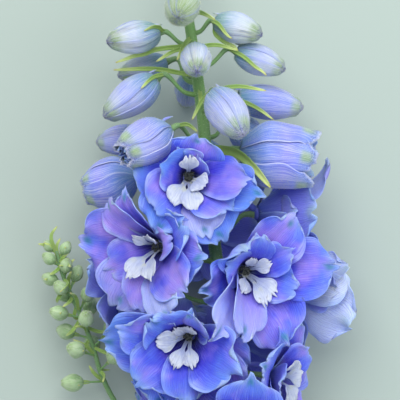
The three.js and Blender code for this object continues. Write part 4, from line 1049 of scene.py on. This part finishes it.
def buildSideShoot():
    steps = sideShoot["steps"]
    path = curveThrough(sideShoot["line"], steps)
    radii = between(sideShoot["radius"], sideShoot["endRadius"], np.linspace(0, 1, steps))
    greens = [tube(path, radii, 12, 0.2, ribs=4, ribDepth=0.05, firstNormal=upward)]
    buds = []
    for k in range(sideShoot["buds"]):
        along = k / (sideShoot["buds"] - 1)
        place = between(sideShoot["from"], 1, along ** 0.85)
        at = min(int(place * (steps - 1)), steps - 2)
        root, tangent = path[at], unit(path[at + 1] - path[at])
        side = unit(np.cross(upward, tangent))
        angle = math.radians(goldenTurn * k)
        direction = unit(side * math.cos(angle) + upward * math.sin(angle) * 0.8
                         + tangent * (0.4 + 0.7 * along))
        girth = between(sideShoot["girth"], sideShoot["endGirth"], along)
        stalkLength = between(sideShoot["stalk"], sideShoot["endStalk"], along)
        stalk, bud = smallBud(root, direction, stalkLength, girth, 0.29 * k)
        greens.append(stalk)
        buds.extend(bud)
        flank = unit(np.cross(direction, tangent))
        seat = root + direction * stalkLength * 0.7
        length = sideShoot["bract"] * (0.75 + 0.25 * math.sin(5 * k))
        for way in (-1, 1):
            greens.append(shootBract(seat, direction, flank * way, length * 0.6, 0.13 * k))
        beside = tangent * (0.9 if k % 3 == 0 else -0.7) + upward * 0.4
        greens.append(shootBract(root, unit(direction * 0.6 + beside), flank, length * 1.1, 0.17 * k))
    for way in (-0.5, 0.2, 0.7):
        greens.append(shootBract(path[-4], tangent, side * way, sideShoot["bract"] * 0.8, way))
    addPiece("shoot_stem", greens, greenSkin, ["side_shoot"])
    addPiece("shoot_buds", buds, shootSkin)
    addFuzz("shoot_fuzz", greens, buds, shootFuzz, np.random.default_rng(8))


buildSideShoot()

leaves = [
    {"name": "leaf_1", "node": -136, "blade": (-6, -152, -22), "heading": -140, "radius": 34, "stalk": 1.3},
    {"name": "leaf_2", "node": -164, "blade": (52, -166, -27), "heading": 105, "radius": 33, "stalk": 1.3},
    {"name": "leaf_3", "node": -116, "blade": (46, -120, -20), "heading": 62, "radius": 24, "stalk": 1.1},
]
leafShape = {"lobes": (-104, -52, 0, 52, 104), "reach": (0.72, 0.92, 1, 0.92, 0.72), "halfAngle": 26,
             "edge": ((0.0, 1.0), (0.28, 0.72), (0.48, 0.8), (1.0, 0.3)), "thickness": 0.5, "teeth": 0.05,
             "notch": ((130, 140, 180), (0.27, 0.34, 0.07)), "steps": (16, 240), "petioleSteps": 24}


def leafReach(angle):  # the outline's share of the full radius, and how near it is to a lobe's middle
    best, middle = 0.0, 0.0
    for centre, reach in zip(leafShape["lobes"], leafShape["reach"]):
        off = abs(angle - centre) / leafShape["halfAngle"]
        if off <= 1:
            best = np.interp(off, *zip(*leafShape["edge"])) * reach
            best = best * (1 + leafShape["teeth"] * math.cos(off * 17))
            middle = 1 - off
    if abs(angle) > leafShape["lobes"][-1] + leafShape["halfAngle"] * 0.999:
        best = np.interp(abs(angle), *leafShape["notch"])  # beside the petiole
    return best, middle


def leafBlade(radius):
    rows, columns = leafShape["steps"]
    count = rows * columns
    angles = np.linspace(-180, 180, columns, endpoint=False)
    reach, middle = np.array([leafReach(a) for a in angles]).T
    shares = np.linspace(0.02, 1, rows)[:, None]
    far = shares * reach
    ridge = np.cos(np.radians(angles * 180 / leafShape["halfAngle"])) * 0.05 * np.minimum(reach, 1)
    ripple = 0.012 * np.sin(shares * 26 + angles * 0.35) * shares
    height = radius * (0.22 * far - 0.4 * far * far - ridge * far + ripple)
    turn = np.radians(angles)
    top = stacked(np.sin(turn) * far * radius, np.cos(turn) * far * radius, height).reshape(-1, 3)
    half = upward * leafShape["thickness"] / 2
    k = np.arange(columns)
    following = np.roll(k, -1)
    faces = [gridFaces(rows, columns, ring=True), gridFaces(rows, columns, count, ring=True)[:, ::-1],
             wallFaces(count - columns + k, count), stacked(k, k + count, following + count, following)]
    space = stacked(shares, 1 - middle, 0.0).reshape(-1, 3)
    part = solidPart(np.concatenate([top + half, top - half]), faces, np.tile(space, (2, 1)))
    part["tone"][:count, 0] = 1
    part["tone"][:, 1] = np.tile(smooth(0.86, 0.995, middle), 2 * rows)
    return part


def buildLeaf(leaf):
    ahead = wayAt(leaf["heading"])
    axes = np.array([[ahead[1], -ahead[0], 0], ahead, upward])
    start, end = stemAt(leaf["node"]), np.array(leaf["blade"], float)
    steps = leafShape["petioleSteps"]
    path = curveThrough([start, (start + end) / 2 + np.array([0, 2, 1]), end - ahead * 4 - upward * 2.2,
                         end + ahead * 0.6], steps)
    s = np.linspace(0, 1, steps)
    petiole = tube(path, leaf["stalk"] * (1.2 - 0.6 * s * s), 12, 0.2, (1, 1, 0), ribs=3, ribDepth=0.05)
    petiole["space"][:, 0] = 0.3
    blade = moved(leafBlade(leaf["radius"]), (end, axes))
    addPiece(leaf["name"] + "_blade", [blade, petiole], leafSkin, [leaf["name"]])


for leaf in leaves:
    buildLeaf(leaf)
print("side shoot and leaves made")

# Floor, light and camera. Sizes are in metres here, apart from the camera's.
stageLook = {
    "floor": "abbab4", "floorSize": 9.0, "roughness": 0.9, "cloud": 6.0, "grain": 60.0,
    "world": "eef3f6", "worldStrength": 0.6,
    "lamps": [("keyLight", 17, (-0.1, 0.78, 1.05), 1.1, (1.0, 0.98, 0.95)),
              ("fillLight", 7, (0.95, -0.3, 0.8), 1.3, (0.93, 0.97, 1.0))],  # power, place, size, tint
}
cameraSizes = {"distance": 600, "pixelsPerUnit": 1428.6, "imageWidth": 400, "sensor": 36}


def buildStage():
    size = stageLook["floorSize"] / 2
    mesh = bpy.data.meshes.new("floor")
    mesh.from_pydata([(-size, -size, 0), (size, -size, 0), (size, size, 0), (-size, size, 0)], [],
                     [(0, 1, 2, 3)])
    made = bpy.data.materials.new("floorPaint")
    made.use_nodes = True
    tree = made.node_tree
    shader = tree.nodes["Principled BSDF"]
    sockets = {"Cloud": stageLook["cloud"], "Grain": stageLook["grain"]}
    cloud = put(tree, "Group", sockets, node_tree=mottleGroup).outputs["Cloud"]
    colour = mottled(tree, linear(stageLook["floor"]), cloud, 0.03, 0.97)
    tree.links.new(colour, shader.inputs["Base Color"])
    shader.inputs["Roughness"].default_value = stageLook["roughness"]
    mesh.materials.append(made)
    floor = newObject("floor", mesh)


def buildLight():
    world = bpy.data.worlds.new("studioAir")
    world.use_nodes = True
    background = world.node_tree.nodes["Background"]
    background.inputs[0].default_value = linear(stageLook["world"])
    background.inputs[1].default_value = stageLook["worldStrength"]
    bpy.context.scene.world = world
    bpy.context.scene.view_settings.view_transform = "Standard"
    for name, power, place, size, tint in stageLook["lamps"]:
        lamp = bpy.data.lights.new(name, "AREA")
        lamp.energy, lamp.size, lamp.color = power, size, tint
        made = newObject(name, lamp)
        made.location = place
        made.rotation_euler = Vector(unit(-np.array(place))).to_track_quat("-Z", "Y").to_euler()


def buildCamera():
    camera = bpy.data.cameras.new("camera")
    camera.sensor_width = cameraSizes["sensor"]
    camera.lens = cameraSizes["sensor"] * cameraSizes["pixelsPerUnit"] / cameraSizes["imageWidth"]
    camera.clip_start = 0.05
    made = newObject("camera", camera)
    made.location = (np.array([0, 0, cameraSizes["distance"]]) + layShift) / 1000
    bpy.context.scene.camera = made


buildStage()
buildLight()
buildCamera()
print("stage, light and camera made")
